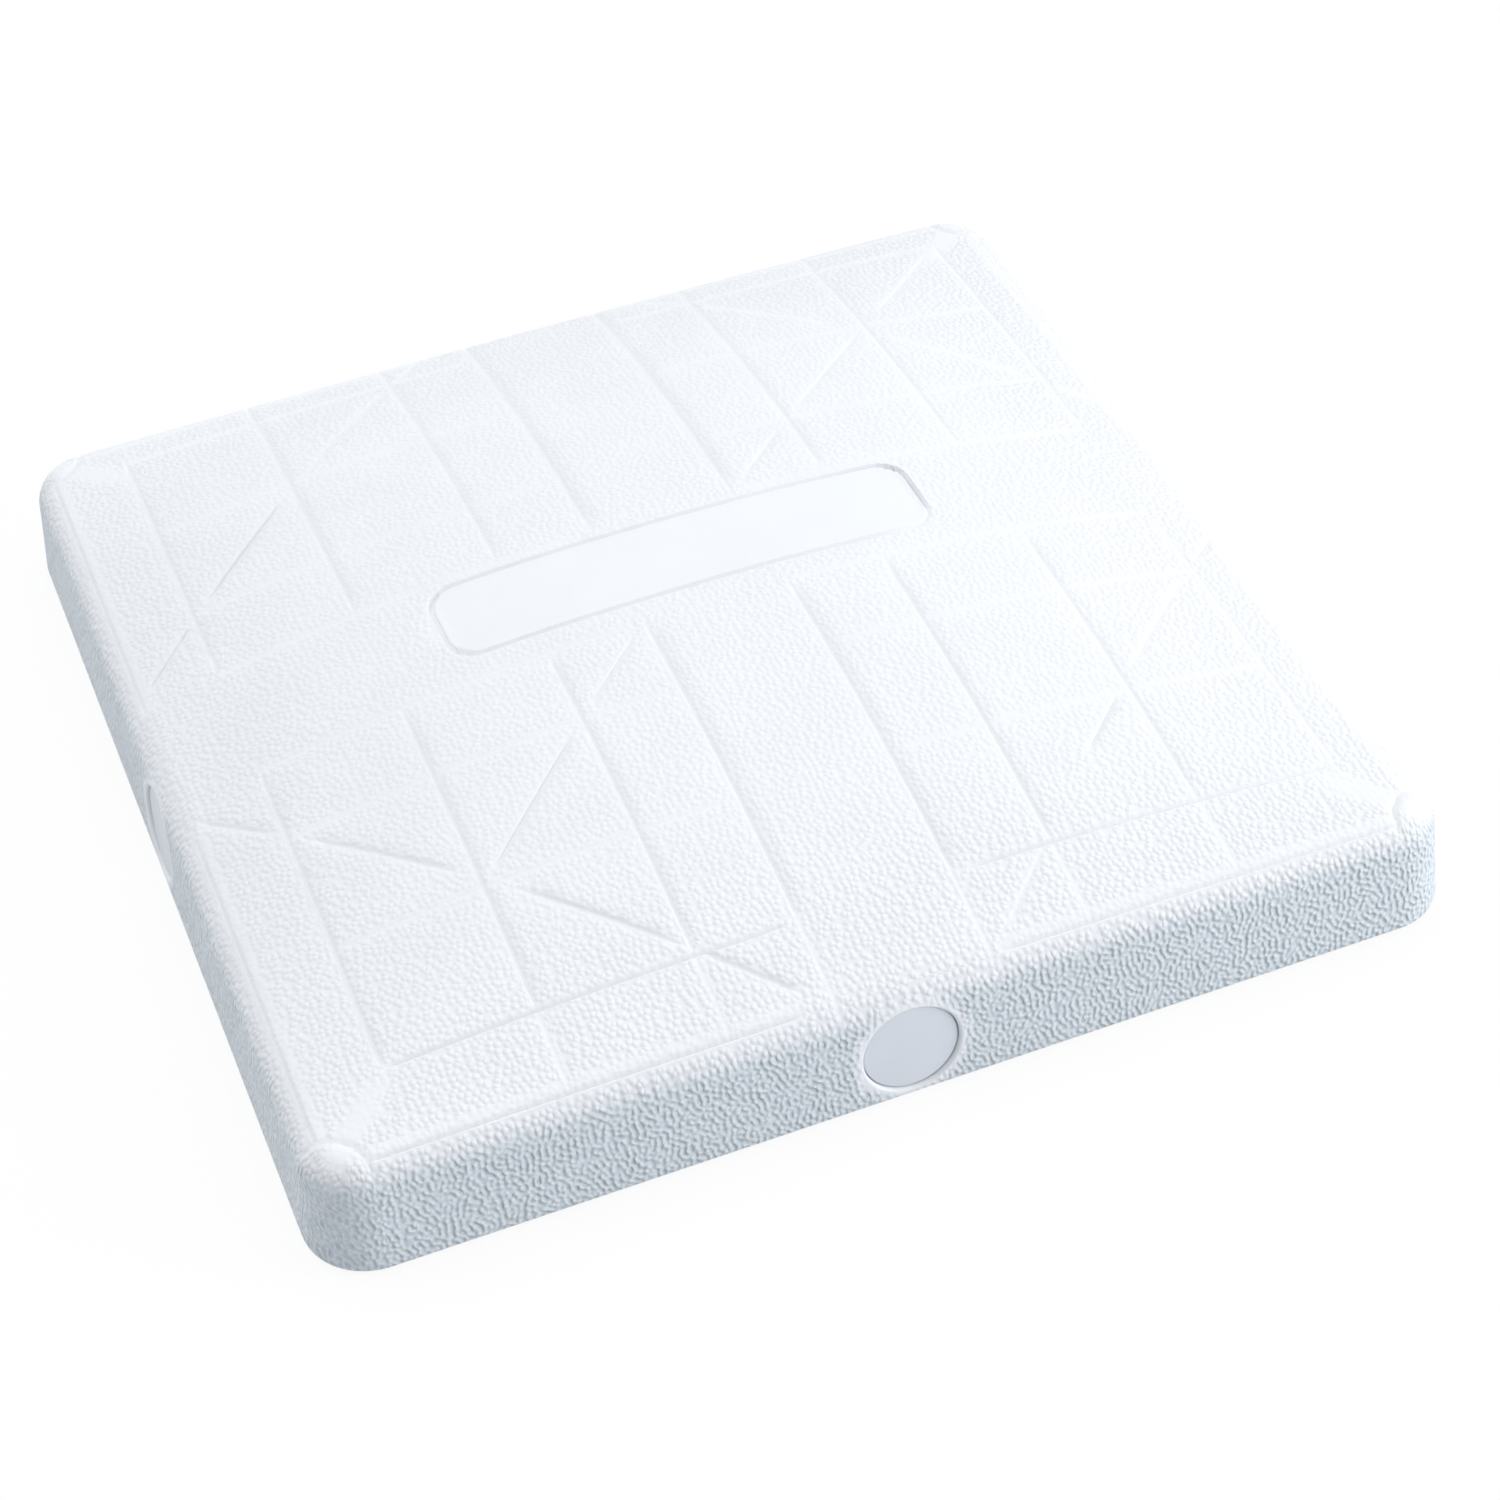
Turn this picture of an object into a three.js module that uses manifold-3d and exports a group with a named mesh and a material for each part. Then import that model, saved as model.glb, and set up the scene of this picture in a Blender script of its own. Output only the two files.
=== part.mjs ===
// A square baseball base: a crowned cover of moulded rubber over a foam core and a steel frame,
// closed below by a steel plate, with a round pull-out plug in the middle of each side.
// Millimetres, +Z up, origin on the ground under the middle of the base. The front side faces -Y.
import * as THREE from "three";
import { mergeVertices } from "three/addons/utils/BufferGeometryUtils.js";
import Module from "manifold-3d";

const wasm = await Module();
wasm.setup();

// Cover, outside
const BASE_SIDE = 381; // across the foot, 15 inches
const EDGE_HEIGHT = 40; // height of the top edge
const CROWN_RISE = 25; // height of the middle of the top above its edge
const CROWN_POWER = 2.4; // 2 gives a parabola, more a flatter middle
const SIDE_DRAFT = 2.7; // lean of each side between the foot and the top edge
const EDGE_ROUND = 10; // rounding between top and sides
const CORNER_RADIUS = 22; // corners seen from above
const FOOT_ROUND = 2.5; // rounding along the foot

// Grooves moulded into the top, measured from the middle of their pattern
const PATTERN_X = 4;
const PATTERN_Y = 7;
const GROOVE_WIDTH = 2.4;
const GROOVE_DEPTH = 1;
const GROOVE_MARGIN = 3; // from the grooves' ends to the side
const MIDDLE_GAP = 31; // half width of the bands without grooves
const EDGE_LINES = [25.5, 59.3, 110]; // lines that run out to the edge
const BORDER_LINE = 159; // line that closes the border
const BORDER_END = 157;
const SLANT_REACH = 216; // corner of the slanting square
const SLANT_PIECES = [
  [35, 57],
  [64, 99],
  [117, 152],
  [163, 181],
];
const DIAGONAL_PIECES = [ // only from the front left to the back right corner
  [33, 53],
  [66, 104],
  [120, 153],
];

// Cover, inside
const SIDE_WALL = 10;
const TOP_SKIN = 8;
const INNER_ROUND = 4; // rounding of the cavity under the top edge
const LIP_OVERHANG = 2; // how far the turned-in lip shows inside the frame

// Steel frame of tube, as high as the cavity allows along its edge
const RAIL_WIDTH = 20;
const RAIL_WALL = 2;
const CORE_OVER_FRAME = 0.9; // foam over the frame at the level of the top edge
const CORE_BEHIND_PLUG = 21; // foam between a plug's tip and the frame

// Bottom plate, and the stem plate behind its opening
const PLATE_THICKNESS = 3;
const PLATE_RECESS = 1.5; // plate above the ground
const PLATE_CORNER = 8;
const STEM_OPENING = 114;
const STEM_PLATE_THICKNESS = 6;
const STEM_PLATE_OVERLAP = 8; // of the bottom plate, on each side
const STEM_BOLT_HOLE = 11;

// Nuts for the stem's bolts
const NUT_ACROSS_FLATS = 17;
const NUT_HEIGHT = 8;
const NUT_BORE = 10;
const NUT_ROOM = 3; // between a nut's corner and the cross rail

// Countersunk screws through plate and lip into the frame
const SCREW_DIAMETER = 6;
const SCREW_HEAD_DIAMETER = 12;
const SCREW_TIP = 5; // of the screw, past the rail's wall
const SCREW_OFFSET = 70; // from the middle of a rail
const SLOT_WIDTH = 1.6;
const SLOT_DEPTH = 1.2;

// Side plugs
const PLUG_DIAMETER = 31.4;
const PLUG_DISC = 4; // thickness of the disc that shows
const PLUG_CHAMFER = 0.6;
const PLUG_SHANK_DIAMETER = 20;
const PLUG_SHANK_LENGTH = 14;
const PLUG_TIP_TAPER = 1.5;
const PLUG_RECESS = 1.2; // disc below the side's surface
const RUBBER_UNDER_PLUG = 3; // between the hole and the ground

// Clearances
const SEAT_GAP = 0.3; // between pieces that lie on each other
const PLUG_CLEARANCE = 0.3; // round a plug
const SCREW_CLEARANCE = 0.3; // round a screw
const PLATE_CLEARANCE = 1; // round the bottom plate
const CUT_PAST = 2; // by which a cutting shape passes a face

// Fineness of the curved faces
const SIDE_STEPS = 8;
const CORNER_STEPS = 4;
const ROUND_STEPS = 3;
const FOOT_STEPS = 2;
const CROWN_STEPS = 5;
const BORE_STEPS = 28;
const SCREW_STEPS = 16;
const CORNER_SHARE = 0.12; // least corner radius of a ring, as a share of its half side
const MERGE_DISTANCE = 1e-4; // points nearer than this are one point

// Heights of the layers, from the ground up
const PLATE_TOP = PLATE_RECESS + PLATE_THICKNESS;
const LIP_BOTTOM = PLATE_TOP + SEAT_GAP;
const LIP_TOP = LIP_BOTTOM + STEM_PLATE_THICKNESS;
const RAIL_BOTTOM = LIP_TOP + SEAT_GAP;
const RAIL_TOP = EDGE_HEIGHT - TOP_SKIN - CORE_OVER_FRAME;

// Sizes that follow from the ones above
const TOP_HALF = BASE_SIDE / 2 - SIDE_DRAFT;
const DRAFT_SLOPE = SIDE_DRAFT / (EDGE_HEIGHT - EDGE_ROUND);
const PLUG_REACH = PLUG_DISC + PLUG_SHANK_LENGTH;
const PLUG_HEIGHT = RUBBER_UNDER_PLUG + PLUG_CLEARANCE + PLUG_DIAMETER / 2;
const FRAME_SIDE = BASE_SIDE - 2 * (PLUG_RECESS + PLUG_REACH + CORE_BEHIND_PLUG);
const PLATE_SIDE = FRAME_SIDE;
const LIP_INNER_SIDE = FRAME_SIDE - 2 * (RAIL_WIDTH + LIP_OVERHANG);
const STEM_PLATE_SIDE = STEM_OPENING + 2 * STEM_PLATE_OVERLAP;
const CROSS_RAIL_X = (STEM_PLATE_SIDE - RAIL_WIDTH) / 2;
const NUT_RADIUS = NUT_ACROSS_FLATS / Math.sqrt(3);
const STEM_BOLT_X = CROSS_RAIL_X - RAIL_WIDTH / 2 - NUT_ROOM - NUT_RADIUS;
const RAIL_CENTRE = (FRAME_SIDE - RAIL_WIDTH) / 2;
const SCREW_HEAD_HEIGHT = (SCREW_HEAD_DIAMETER - SCREW_DIAMETER) / 2;
const SCREW_TOP = RAIL_BOTTOM + RAIL_WALL + SCREW_TIP;

const whiteRubber = new THREE.MeshStandardMaterial({ color: 0xeef1f5, roughness: 0.55, metalness: 0 });
const plugRubber = new THREE.MeshStandardMaterial({ color: 0xe3e8ee, roughness: 0.4, metalness: 0 });
const foam = new THREE.MeshStandardMaterial({ color: 0x8d9196, roughness: 0.95, metalness: 0 });
const zincSteel = new THREE.MeshStandardMaterial({ color: 0xb4b8bb, roughness: 0.45, metalness: 0.9 });
const darkSteel = new THREE.MeshStandardMaterial({ color: 0x4b4e52, roughness: 0.55, metalness: 0.8 });

const base = new THREE.Group();

function addPiece(name, geometry, material) {
  const mesh = new THREE.Mesh(geometry, material);
  mesh.name = name;
  base.add(mesh);
  return mesh;
}

// A closed geometry as a solid that can be cut, without the flat triangles that a lathe leaves on its axis.
function solidOf(geometry) {
  const bare = new THREE.BufferGeometry();
  bare.setAttribute("position", geometry.getAttribute("position"));
  bare.setIndex(geometry.getIndex());
  const merged = mergeVertices(bare, MERGE_DISTANCE);
  const corners = merged.getIndex().array;
  const kept = [];
  for (let i = 0; i < corners.length; i += 3) {
    const [a, b, c] = [corners[i], corners[i + 1], corners[i + 2]];
    if (a !== b && b !== c && c !== a) {
      kept.push(a, b, c);
    }
  }
  const mesh = new wasm.Mesh({
    numProp: 3,
    vertProperties: merged.getAttribute("position").array,
    triVerts: new Uint32Array(kept),
  });
  return new wasm.Manifold(mesh);
}

function geometryOf(solid) {
  const mesh = solid.getMesh();
  const geometry = new THREE.BufferGeometry();
  geometry.setAttribute("position", new THREE.BufferAttribute(mesh.vertProperties, 3));
  geometry.setIndex(new THREE.BufferAttribute(mesh.triVerts, 1));
  geometry.computeVertexNormals();
  return geometry;
}

function cut(geometry, tools) {
  const carved = tools.reduce((solid, tool) => solid.subtract(solidOf(tool)), solidOf(geometry));
  return geometryOf(carved);
}

function block(sizeX, sizeY, bottom, top, x = 0, y = 0) {
  return new THREE.BoxGeometry(sizeX, sizeY, top - bottom).translate(x, y, (bottom + top) / 2);
}

function rod(radius, bottom, top, x, y) {
  const upright = new THREE.CylinderGeometry(radius, radius, top - bottom, SCREW_STEPS).rotateX(Math.PI / 2);
  return upright.translate(x, y, (bottom + top) / 2);
}

function squareOutline(side, corner) {
  const h = side / 2;
  const outline = new THREE.Shape();
  outline.moveTo(h, corner - h);
  outline.absarc(h - corner, h - corner, corner, 0, Math.PI / 2);
  outline.absarc(corner - h, h - corner, corner, Math.PI / 2, Math.PI);
  outline.absarc(corner - h, corner - h, corner, Math.PI, 1.5 * Math.PI);
  outline.absarc(h - corner, corner - h, corner, 1.5 * Math.PI, 2 * Math.PI);
  return outline;
}

function slab(outline, bottom, top) {
  const options = { depth: top - bottom, bevelEnabled: false, curveSegments: CORNER_STEPS };
  return new THREE.ExtrudeGeometry(outline, options).translate(0, 0, bottom);
}

// Rise of the top above its edge: level along the edge and highest in the middle.
function crownAt(x, y) {
  const fall = (d) => 1 - Math.min(Math.abs(d) / TOP_HALF, 1) ** CROWN_POWER;
  return CROWN_RISE * fall(x) * fall(y);
}

// Points round a square with rounded corners, anticlockwise from above.
function squareRing(half, radius) {
  const points = [];
  for (let corner = 0; corner < 4; corner += 1) {
    const facing = (corner * Math.PI) / 2;
    const middle = new THREE.Vector2(Math.cos(facing), Math.sin(facing));
    const along = new THREE.Vector2(-middle.y, middle.x);
    for (let i = 0; i < SIDE_STEPS; i += 1) {
      const t = (2 * i) / SIDE_STEPS - 1;
      const point = middle.clone().multiplyScalar(half);
      points.push(point.addScaledVector(along, t * (half - radius)));
    }
    const centre = middle.clone().add(along).multiplyScalar(half - radius);
    for (let i = 0; i < CORNER_STEPS; i += 1) {
      const turn = facing + (i / CORNER_STEPS) * (Math.PI / 2);
      points.push(new THREE.Vector2(Math.cos(turn), Math.sin(turn)).multiplyScalar(radius).add(centre));
    }
  }
  return points;
}

// A square block with leaning sides and a crowned top. Its sides lie inset from the cover's outside, its top
// lies drop below the cover's, and footRound may be zero.
function crownedBlock({ inset, floor, drop, edgeRound, footRound }) {
  const rings = [];
  const lean = (z) => inset + DRAFT_SLOPE * z;
  const half = (from) => BASE_SIDE / 2 - from;
  const radius = (from) => Math.max(CORNER_RADIUS - from, CORNER_SHARE * half(from));
  const addRing = (from, height) => {
    const ring = squareRing(half(from), radius(from));
    rings.push(ring.map((p) => new THREE.Vector3(p.x, p.y, height(p.x, p.y))));
  };
  const footSteps = footRound > 0 ? FOOT_STEPS : 0;
  for (let i = 0; i <= footSteps; i += 1) {
    const turn = footSteps ? (i / footSteps) * (Math.PI / 2) : Math.PI / 2;
    const z = floor + footRound * (1 - Math.cos(turn));
    addRing(lean(z) + footRound * (1 - Math.sin(turn)), () => z);
  }
  const shoulder = lean(EDGE_HEIGHT - EDGE_ROUND);
  for (let i = 0; i <= ROUND_STEPS; i += 1) {
    const turn = (i / ROUND_STEPS) * (Math.PI / 2);
    const below = drop + edgeRound * (1 - Math.sin(turn));
    addRing(shoulder + edgeRound * (1 - Math.cos(turn)), (x, y) => EDGE_HEIGHT + crownAt(x, y) - below);
  }
  const flatHalf = half(shoulder + edgeRound);
  for (let i = 1; i < CROWN_STEPS; i += 1) {
    const from = BASE_SIDE / 2 - flatHalf * (1 - i / CROWN_STEPS);
    addRing(from, (x, y) => EDGE_HEIGHT + crownAt(x, y) - drop);
  }
  return closedLoft(rings, floor, EDGE_HEIGHT + crownAt(0, 0) - drop);
}

// Rings joined from the bottom up, with a fan of triangles over each end.
function closedLoft(rings, bottom, top) {
  const count = rings[0].length;
  const points = [...rings.flat(), new THREE.Vector3(0, 0, bottom), new THREE.Vector3(0, 0, top)];
  const [bottomPoint, topPoint] = [points.length - 2, points.length - 1];
  const corners = [];
  for (let j = 0; j < count; j += 1) {
    const next = (j + 1) % count;
    for (let i = 0; i + 1 < rings.length; i += 1) {
      const [a, b] = [i * count + j, i * count + next];
      const [c, d] = [b + count, a + count];
      corners.push(a, b, c, a, c, d);
    }
    const last = (rings.length - 1) * count;
    corners.push(bottomPoint, next, j, topPoint, last + j, last + next);
  }
  const geometry = new THREE.BufferGeometry().setFromPoints(points);
  geometry.setIndex(corners);
  geometry.computeVertexNormals();
  return geometry;
}

// Side plugs. A plug is turned about +Y, its face at y = 0, and lies square to the leaning side.
const SIDES = ["front", "right", "back", "left"];

function turned(profile, steps) {
  return new THREE.LatheGeometry(profile.map(([r, y]) => new THREE.Vector2(r, y)), steps);
}

function plugShape() {
  const disc = PLUG_DIAMETER / 2;
  const shank = PLUG_SHANK_DIAMETER / 2;
  return turned(
    [
      [0, -PLUG_REACH],
      [shank - PLUG_TIP_TAPER, -PLUG_REACH],
      [shank, PLUG_TIP_TAPER - PLUG_REACH],
      [shank, -PLUG_DISC],
      [disc, -PLUG_DISC],
      [disc, -PLUG_CHAMFER],
      [disc - PLUG_CHAMFER, 0],
      [0, 0],
    ],
    BORE_STEPS,
  );
}

// The space that a plug needs: the wide hole in the side and the bore for its shank.
function plugSpace(clearance) {
  const disc = PLUG_DIAMETER / 2 + clearance;
  const shank = PLUG_SHANK_DIAMETER / 2 + clearance;
  const mouth = PLUG_RECESS + EDGE_ROUND;
  return turned(
    [
      [0, -PLUG_REACH - clearance],
      [shank, -PLUG_REACH - clearance],
      [shank, -PLUG_DISC - SEAT_GAP],
      [disc, -PLUG_DISC - SEAT_GAP],
      [disc, mouth],
      [0, mouth],
    ],
    BORE_STEPS,
  );
}

function plugPlace(index) {
  const lean = Math.atan(DRAFT_SLOPE);
  const outward = new THREE.Vector3(0, -Math.cos(lean), Math.sin(lean));
  const face = new THREE.Vector3(0, DRAFT_SLOPE * PLUG_HEIGHT - BASE_SIDE / 2, PLUG_HEIGHT);
  face.addScaledVector(outward, -PLUG_RECESS);
  const faceOut = new THREE.Matrix4().makeRotationX(Math.PI - lean).setPosition(face);
  return new THREE.Matrix4().makeRotationZ((index * Math.PI) / 2).multiply(faceOut);
}

SIDES.forEach((side, index) => {
  const plug = addPiece(`side_plug_${side}`, plugShape(), plugRubber);
  plug.applyMatrix4(plugPlace(index));
});

const plugSpaces = [...SIDES.keys()].map((index) => plugSpace(PLUG_CLEARANCE).applyMatrix4(plugPlace(index)));

// Screws along the four rails of the frame
const SCREW_PLACES = SIDES.flatMap((side, index) => {
  const turn = (index * Math.PI) / 2;
  return [-1, 1].map((hand) => {
    const spot = new THREE.Vector2(hand * SCREW_OFFSET, -RAIL_CENTRE);
    return { side, hand, spot: spot.rotateAround(new THREE.Vector2(), turn) };
  });
});

// A screw, or with a clearance the space it needs, open through the plate's face
function screwShape(spot, clearance) {
  const head = SCREW_HEAD_DIAMETER / 2 + clearance;
  const shank = SCREW_DIAMETER / 2 + clearance;
  const face = [0, PLATE_RECESS];
  const mouth = [
    [0, PLATE_RECESS - CUT_PAST],
    [head, PLATE_RECESS - CUT_PAST],
  ];
  const profile = [
    ...(clearance > 0 ? mouth : [face]),
    [head, PLATE_RECESS],
    [shank, PLATE_RECESS + SCREW_HEAD_HEIGHT],
    [shank, SCREW_TOP + clearance],
    [0, SCREW_TOP + clearance],
  ];
  return turned(profile, SCREW_STEPS).rotateX(Math.PI / 2).translate(spot.x, spot.y, 0);
}

const screwSpaces = SCREW_PLACES.map(({ spot }) => screwShape(spot, SCREW_CLEARANCE));

SCREW_PLACES.forEach(({ side, hand, spot }) => {
  const slotTop = PLATE_RECESS + SLOT_DEPTH;
  const slot = block(SLOT_WIDTH, SCREW_HEAD_DIAMETER + CUT_PAST, 0, slotTop, spot.x, spot.y);
  const end = hand < 0 ? "a" : "b";
  addPiece(`plate_screw_${side}_${end}`, cut(screwShape(spot, 0), [slot]), zincSteel);
});

// Grooves of the top: upright bars, less a block whose top lies one groove's depth below the cover's
function bar(x0, y0, x1, y1) {
  const [length, turn] = [Math.hypot(x1 - x0, y1 - y0), Math.atan2(y1 - y0, x1 - x0)];
  const [bottom, top] = [EDGE_HEIGHT - EDGE_ROUND, EDGE_HEIGHT + CROWN_RISE + CUT_PAST];
  return block(length, GROOVE_WIDTH, bottom, top).rotateZ(turn).translate((x0 + x1) / 2, (y0 + y1) / 2, 0);
}

const quarterLines = [-1, 1].flatMap((hand) => [
  ...EDGE_LINES.map((x) => [hand * x, MIDDLE_GAP, hand * x, BASE_SIDE / 2]),
  [hand * BORDER_LINE, MIDDLE_GAP, hand * BORDER_LINE, BORDER_END],
]);
const quarterSlants = SLANT_PIECES.map(([a, b]) => [a, SLANT_REACH - a, b, SLANT_REACH - b]);
const quarterDiagonal = DIAGONAL_PIECES.map(([a, b]) => [a, a, b, b]);
const grooveBars = [...SIDES.keys()].flatMap((index) => {
  const onDiagonal = index % 2 === 0 ? quarterDiagonal : [];
  return [...quarterLines, ...quarterSlants, ...onDiagonal].map((ends) =>
    bar(...ends).rotateZ((index * Math.PI) / 2).translate(PATTERN_X, PATTERN_Y, 0),
  );
});
const grooveArea = 2 * (TOP_HALF - GROOVE_MARGIN);
const grooveRoom = block(grooveArea, grooveArea, EDGE_HEIGHT - EDGE_ROUND, EDGE_HEIGHT + CROWN_RISE + CUT_PAST);
const grooveFloor = crownedBlock({ inset: 0, floor: 0, drop: GROOVE_DEPTH, edgeRound: EDGE_ROUND, footRound: 0 });
const joinedBars = wasm.Manifold.union(grooveBars.map(solidOf));
const grooves = cut(geometryOf(joinedBars.intersect(solidOf(grooveRoom))), [grooveFloor]);

// Rubber cover: an outer block, less the grooves, the cavity, the lip's opening, the plate's recess and the holes
const outside = crownedBlock({ inset: 0, floor: 0, drop: 0, edgeRound: EDGE_ROUND, footRound: FOOT_ROUND });
const cavity = crownedBlock({
  inset: SIDE_WALL,
  floor: LIP_TOP,
  drop: TOP_SKIN,
  edgeRound: INNER_ROUND,
  footRound: 0,
});
const lipOpening = slab(squareOutline(LIP_INNER_SIDE, PLATE_CORNER), -CUT_PAST, LIP_TOP + CUT_PAST);
const recessSide = PLATE_SIDE + 2 * PLATE_CLEARANCE;
const plateRecess = slab(squareOutline(recessSide, PLATE_CORNER + PLATE_CLEARANCE), -CUT_PAST, LIP_BOTTOM);
const coverCuts = [grooves, cavity, lipOpening, plateRecess, ...plugSpaces, ...screwSpaces];
addPiece("rubber_cover", cut(outside, coverCuts), whiteRubber);

// Bottom plate and stem plate
const plateBody = squareOutline(PLATE_SIDE, PLATE_CORNER);
plateBody.holes.push(squareOutline(STEM_OPENING, PLATE_CORNER));
addPiece("bottom_plate", cut(slab(plateBody, PLATE_RECESS, PLATE_TOP), screwSpaces), zincSteel);

const STEM_CORNERS = [
  ["front_left", -1, -1],
  ["front_right", 1, -1],
  ["back_right", 1, 1],
  ["back_left", -1, 1],
];

const stemHoles = STEM_CORNERS.map(([, signX, signY]) => {
  const [x, y] = [signX * STEM_BOLT_X, signY * STEM_BOLT_X];
  return rod(STEM_BOLT_HOLE / 2, LIP_BOTTOM - CUT_PAST, LIP_TOP + CUT_PAST, x, y);
});
const stemPlate = slab(squareOutline(STEM_PLATE_SIDE, PLATE_CORNER), LIP_BOTTOM, LIP_TOP);
addPiece("stem_plate", cut(stemPlate, stemHoles), darkSteel);

// Nuts above the stem plate
function hexagon(radius) {
  const outline = new THREE.Shape();
  for (let i = 0; i < 6; i += 1) {
    const turn = (i * Math.PI) / 3;
    const point = [radius * Math.cos(turn), radius * Math.sin(turn)];
    if (i === 0) {
      outline.moveTo(...point);
    } else {
      outline.lineTo(...point);
    }
  }
  outline.closePath();
  return outline;
}

const NUT_BOTTOM = LIP_TOP + SEAT_GAP;
const NUT_TOP = NUT_BOTTOM + NUT_HEIGHT;
const nutPockets = [];

STEM_CORNERS.forEach(([name, signX, signY]) => {
  const [x, y] = [signX * STEM_BOLT_X, signY * STEM_BOLT_X];
  const outline = hexagon(NUT_RADIUS);
  outline.holes.push(new THREE.Path().absarc(0, 0, NUT_BORE / 2, 0, 2 * Math.PI));
  const nut = slab(outline, NUT_BOTTOM, NUT_TOP).translate(x, y, 0);
  addPiece(`stem_nut_${name}`, nut, zincSteel);
  nutPockets.push(rod(NUT_RADIUS + SEAT_GAP, NUT_BOTTOM - CUT_PAST, NUT_TOP + SEAT_GAP, x, y));
});

// Frame rails: front and back run the full width, the others stand between them
const RAIL_INSIDE = FRAME_SIDE - 2 * (RAIL_WIDTH + SEAT_GAP);
const RAIL_HEIGHT = RAIL_TOP - RAIL_BOTTOM;

function rectangle(width, height) {
  const [w, h] = [width / 2, height / 2];
  const corners = [
    [-w, -h],
    [w, -h],
    [w, h],
    [-w, h],
  ];
  return new THREE.Shape(corners.map(([x, y]) => new THREE.Vector2(x, y)));
}

function tube(length) {
  const outline = rectangle(RAIL_WIDTH, RAIL_HEIGHT);
  outline.holes.push(rectangle(RAIL_WIDTH - 2 * RAIL_WALL, RAIL_HEIGHT - 2 * RAIL_WALL));
  const rail = new THREE.ExtrudeGeometry(outline, { depth: length, bevelEnabled: false });
  return rail.translate(0, 0, -length / 2).rotateX(Math.PI / 2);
}

const RAILS = [
  { name: "frame_rail_front", length: FRAME_SIDE, x: 0, y: -RAIL_CENTRE, turn: Math.PI / 2 },
  { name: "frame_rail_back", length: FRAME_SIDE, x: 0, y: RAIL_CENTRE, turn: Math.PI / 2 },
  { name: "frame_rail_left", length: RAIL_INSIDE, x: -RAIL_CENTRE, y: 0, turn: 0 },
  { name: "frame_rail_right", length: RAIL_INSIDE, x: RAIL_CENTRE, y: 0, turn: 0 },
  { name: "cross_rail_left", length: RAIL_INSIDE, x: -CROSS_RAIL_X, y: 0, turn: 0 },
  { name: "cross_rail_right", length: RAIL_INSIDE, x: CROSS_RAIL_X, y: 0, turn: 0 },
];
const railMiddle = (RAIL_BOTTOM + RAIL_TOP) / 2;
const railPockets = [];

RAILS.forEach(({ name, length, x, y, turn }) => {
  const rail = tube(length).rotateZ(turn).translate(x, y, railMiddle);
  addPiece(name, cut(rail, screwSpaces), darkSteel);
  const [wide, long] = [RAIL_WIDTH + 2 * SEAT_GAP, length + 2 * SEAT_GAP];
  const [sizeX, sizeY] = turn ? [long, wide] : [wide, long];
  railPockets.push(block(sizeX, sizeY, RAIL_BOTTOM - SEAT_GAP, RAIL_TOP + SEAT_GAP, x, y));
});

// Foam core: fills the cavity round the frame, with a foot that reaches down inside the lip
const coreBlock = crownedBlock({
  inset: SIDE_WALL + SEAT_GAP,
  floor: RAIL_BOTTOM,
  drop: TOP_SKIN + SEAT_GAP,
  edgeRound: INNER_ROUND,
  footRound: 0,
});
const footSide = LIP_INNER_SIDE - 2 * SEAT_GAP;
const coreFoot = slab(squareOutline(footSide, PLATE_CORNER - SEAT_GAP), LIP_BOTTOM, RAIL_BOTTOM + CUT_PAST);
const stemPocketSide = STEM_PLATE_SIDE + 2 * SEAT_GAP;
const stemPocket = block(stemPocketSide, stemPocketSide, LIP_BOTTOM - CUT_PAST, RAIL_BOTTOM);
const core = geometryOf(solidOf(coreBlock).add(solidOf(coreFoot)));
const coreCuts = [stemPocket, ...railPockets, ...nutPockets, ...plugSpaces, ...screwSpaces];
addPiece("foam_core", cut(core, coreCuts), foam);

export default base;
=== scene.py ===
import math

import bmesh
import bpy
import numpy as np
from bpy.props import FloatProperty, FloatVectorProperty, PointerProperty
from mathutils import Matrix, Vector


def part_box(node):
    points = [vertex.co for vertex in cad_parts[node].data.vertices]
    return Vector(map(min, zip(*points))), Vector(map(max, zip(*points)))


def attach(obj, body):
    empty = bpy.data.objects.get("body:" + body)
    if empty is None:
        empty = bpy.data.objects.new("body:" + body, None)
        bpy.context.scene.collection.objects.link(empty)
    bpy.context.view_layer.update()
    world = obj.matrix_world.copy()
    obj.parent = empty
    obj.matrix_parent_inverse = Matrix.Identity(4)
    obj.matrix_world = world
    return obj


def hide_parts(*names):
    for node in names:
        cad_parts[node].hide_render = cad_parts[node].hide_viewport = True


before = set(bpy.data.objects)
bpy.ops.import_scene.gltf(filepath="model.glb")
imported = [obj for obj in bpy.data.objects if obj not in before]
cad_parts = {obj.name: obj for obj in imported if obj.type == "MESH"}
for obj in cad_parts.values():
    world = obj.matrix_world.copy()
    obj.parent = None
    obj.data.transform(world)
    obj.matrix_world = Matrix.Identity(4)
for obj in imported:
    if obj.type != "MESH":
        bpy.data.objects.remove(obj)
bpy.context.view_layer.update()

bl_info = {
    "name": "Baseball base",
    "version": (1, 0, 0),
    "blender": (4, 5, 0),
    "location": "3D View > Sidebar > Base",
    "description": "Builds a moulded rubber baseball base round its packed frame",
    "category": "Object",
}

MM = 0.001
SIDES = ("front", "right", "back", "left")
BOTH = (-1, 1)
TINY = 1e-9
WELD = 1e-6
SLANT = math.sqrt(0.5)

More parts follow.
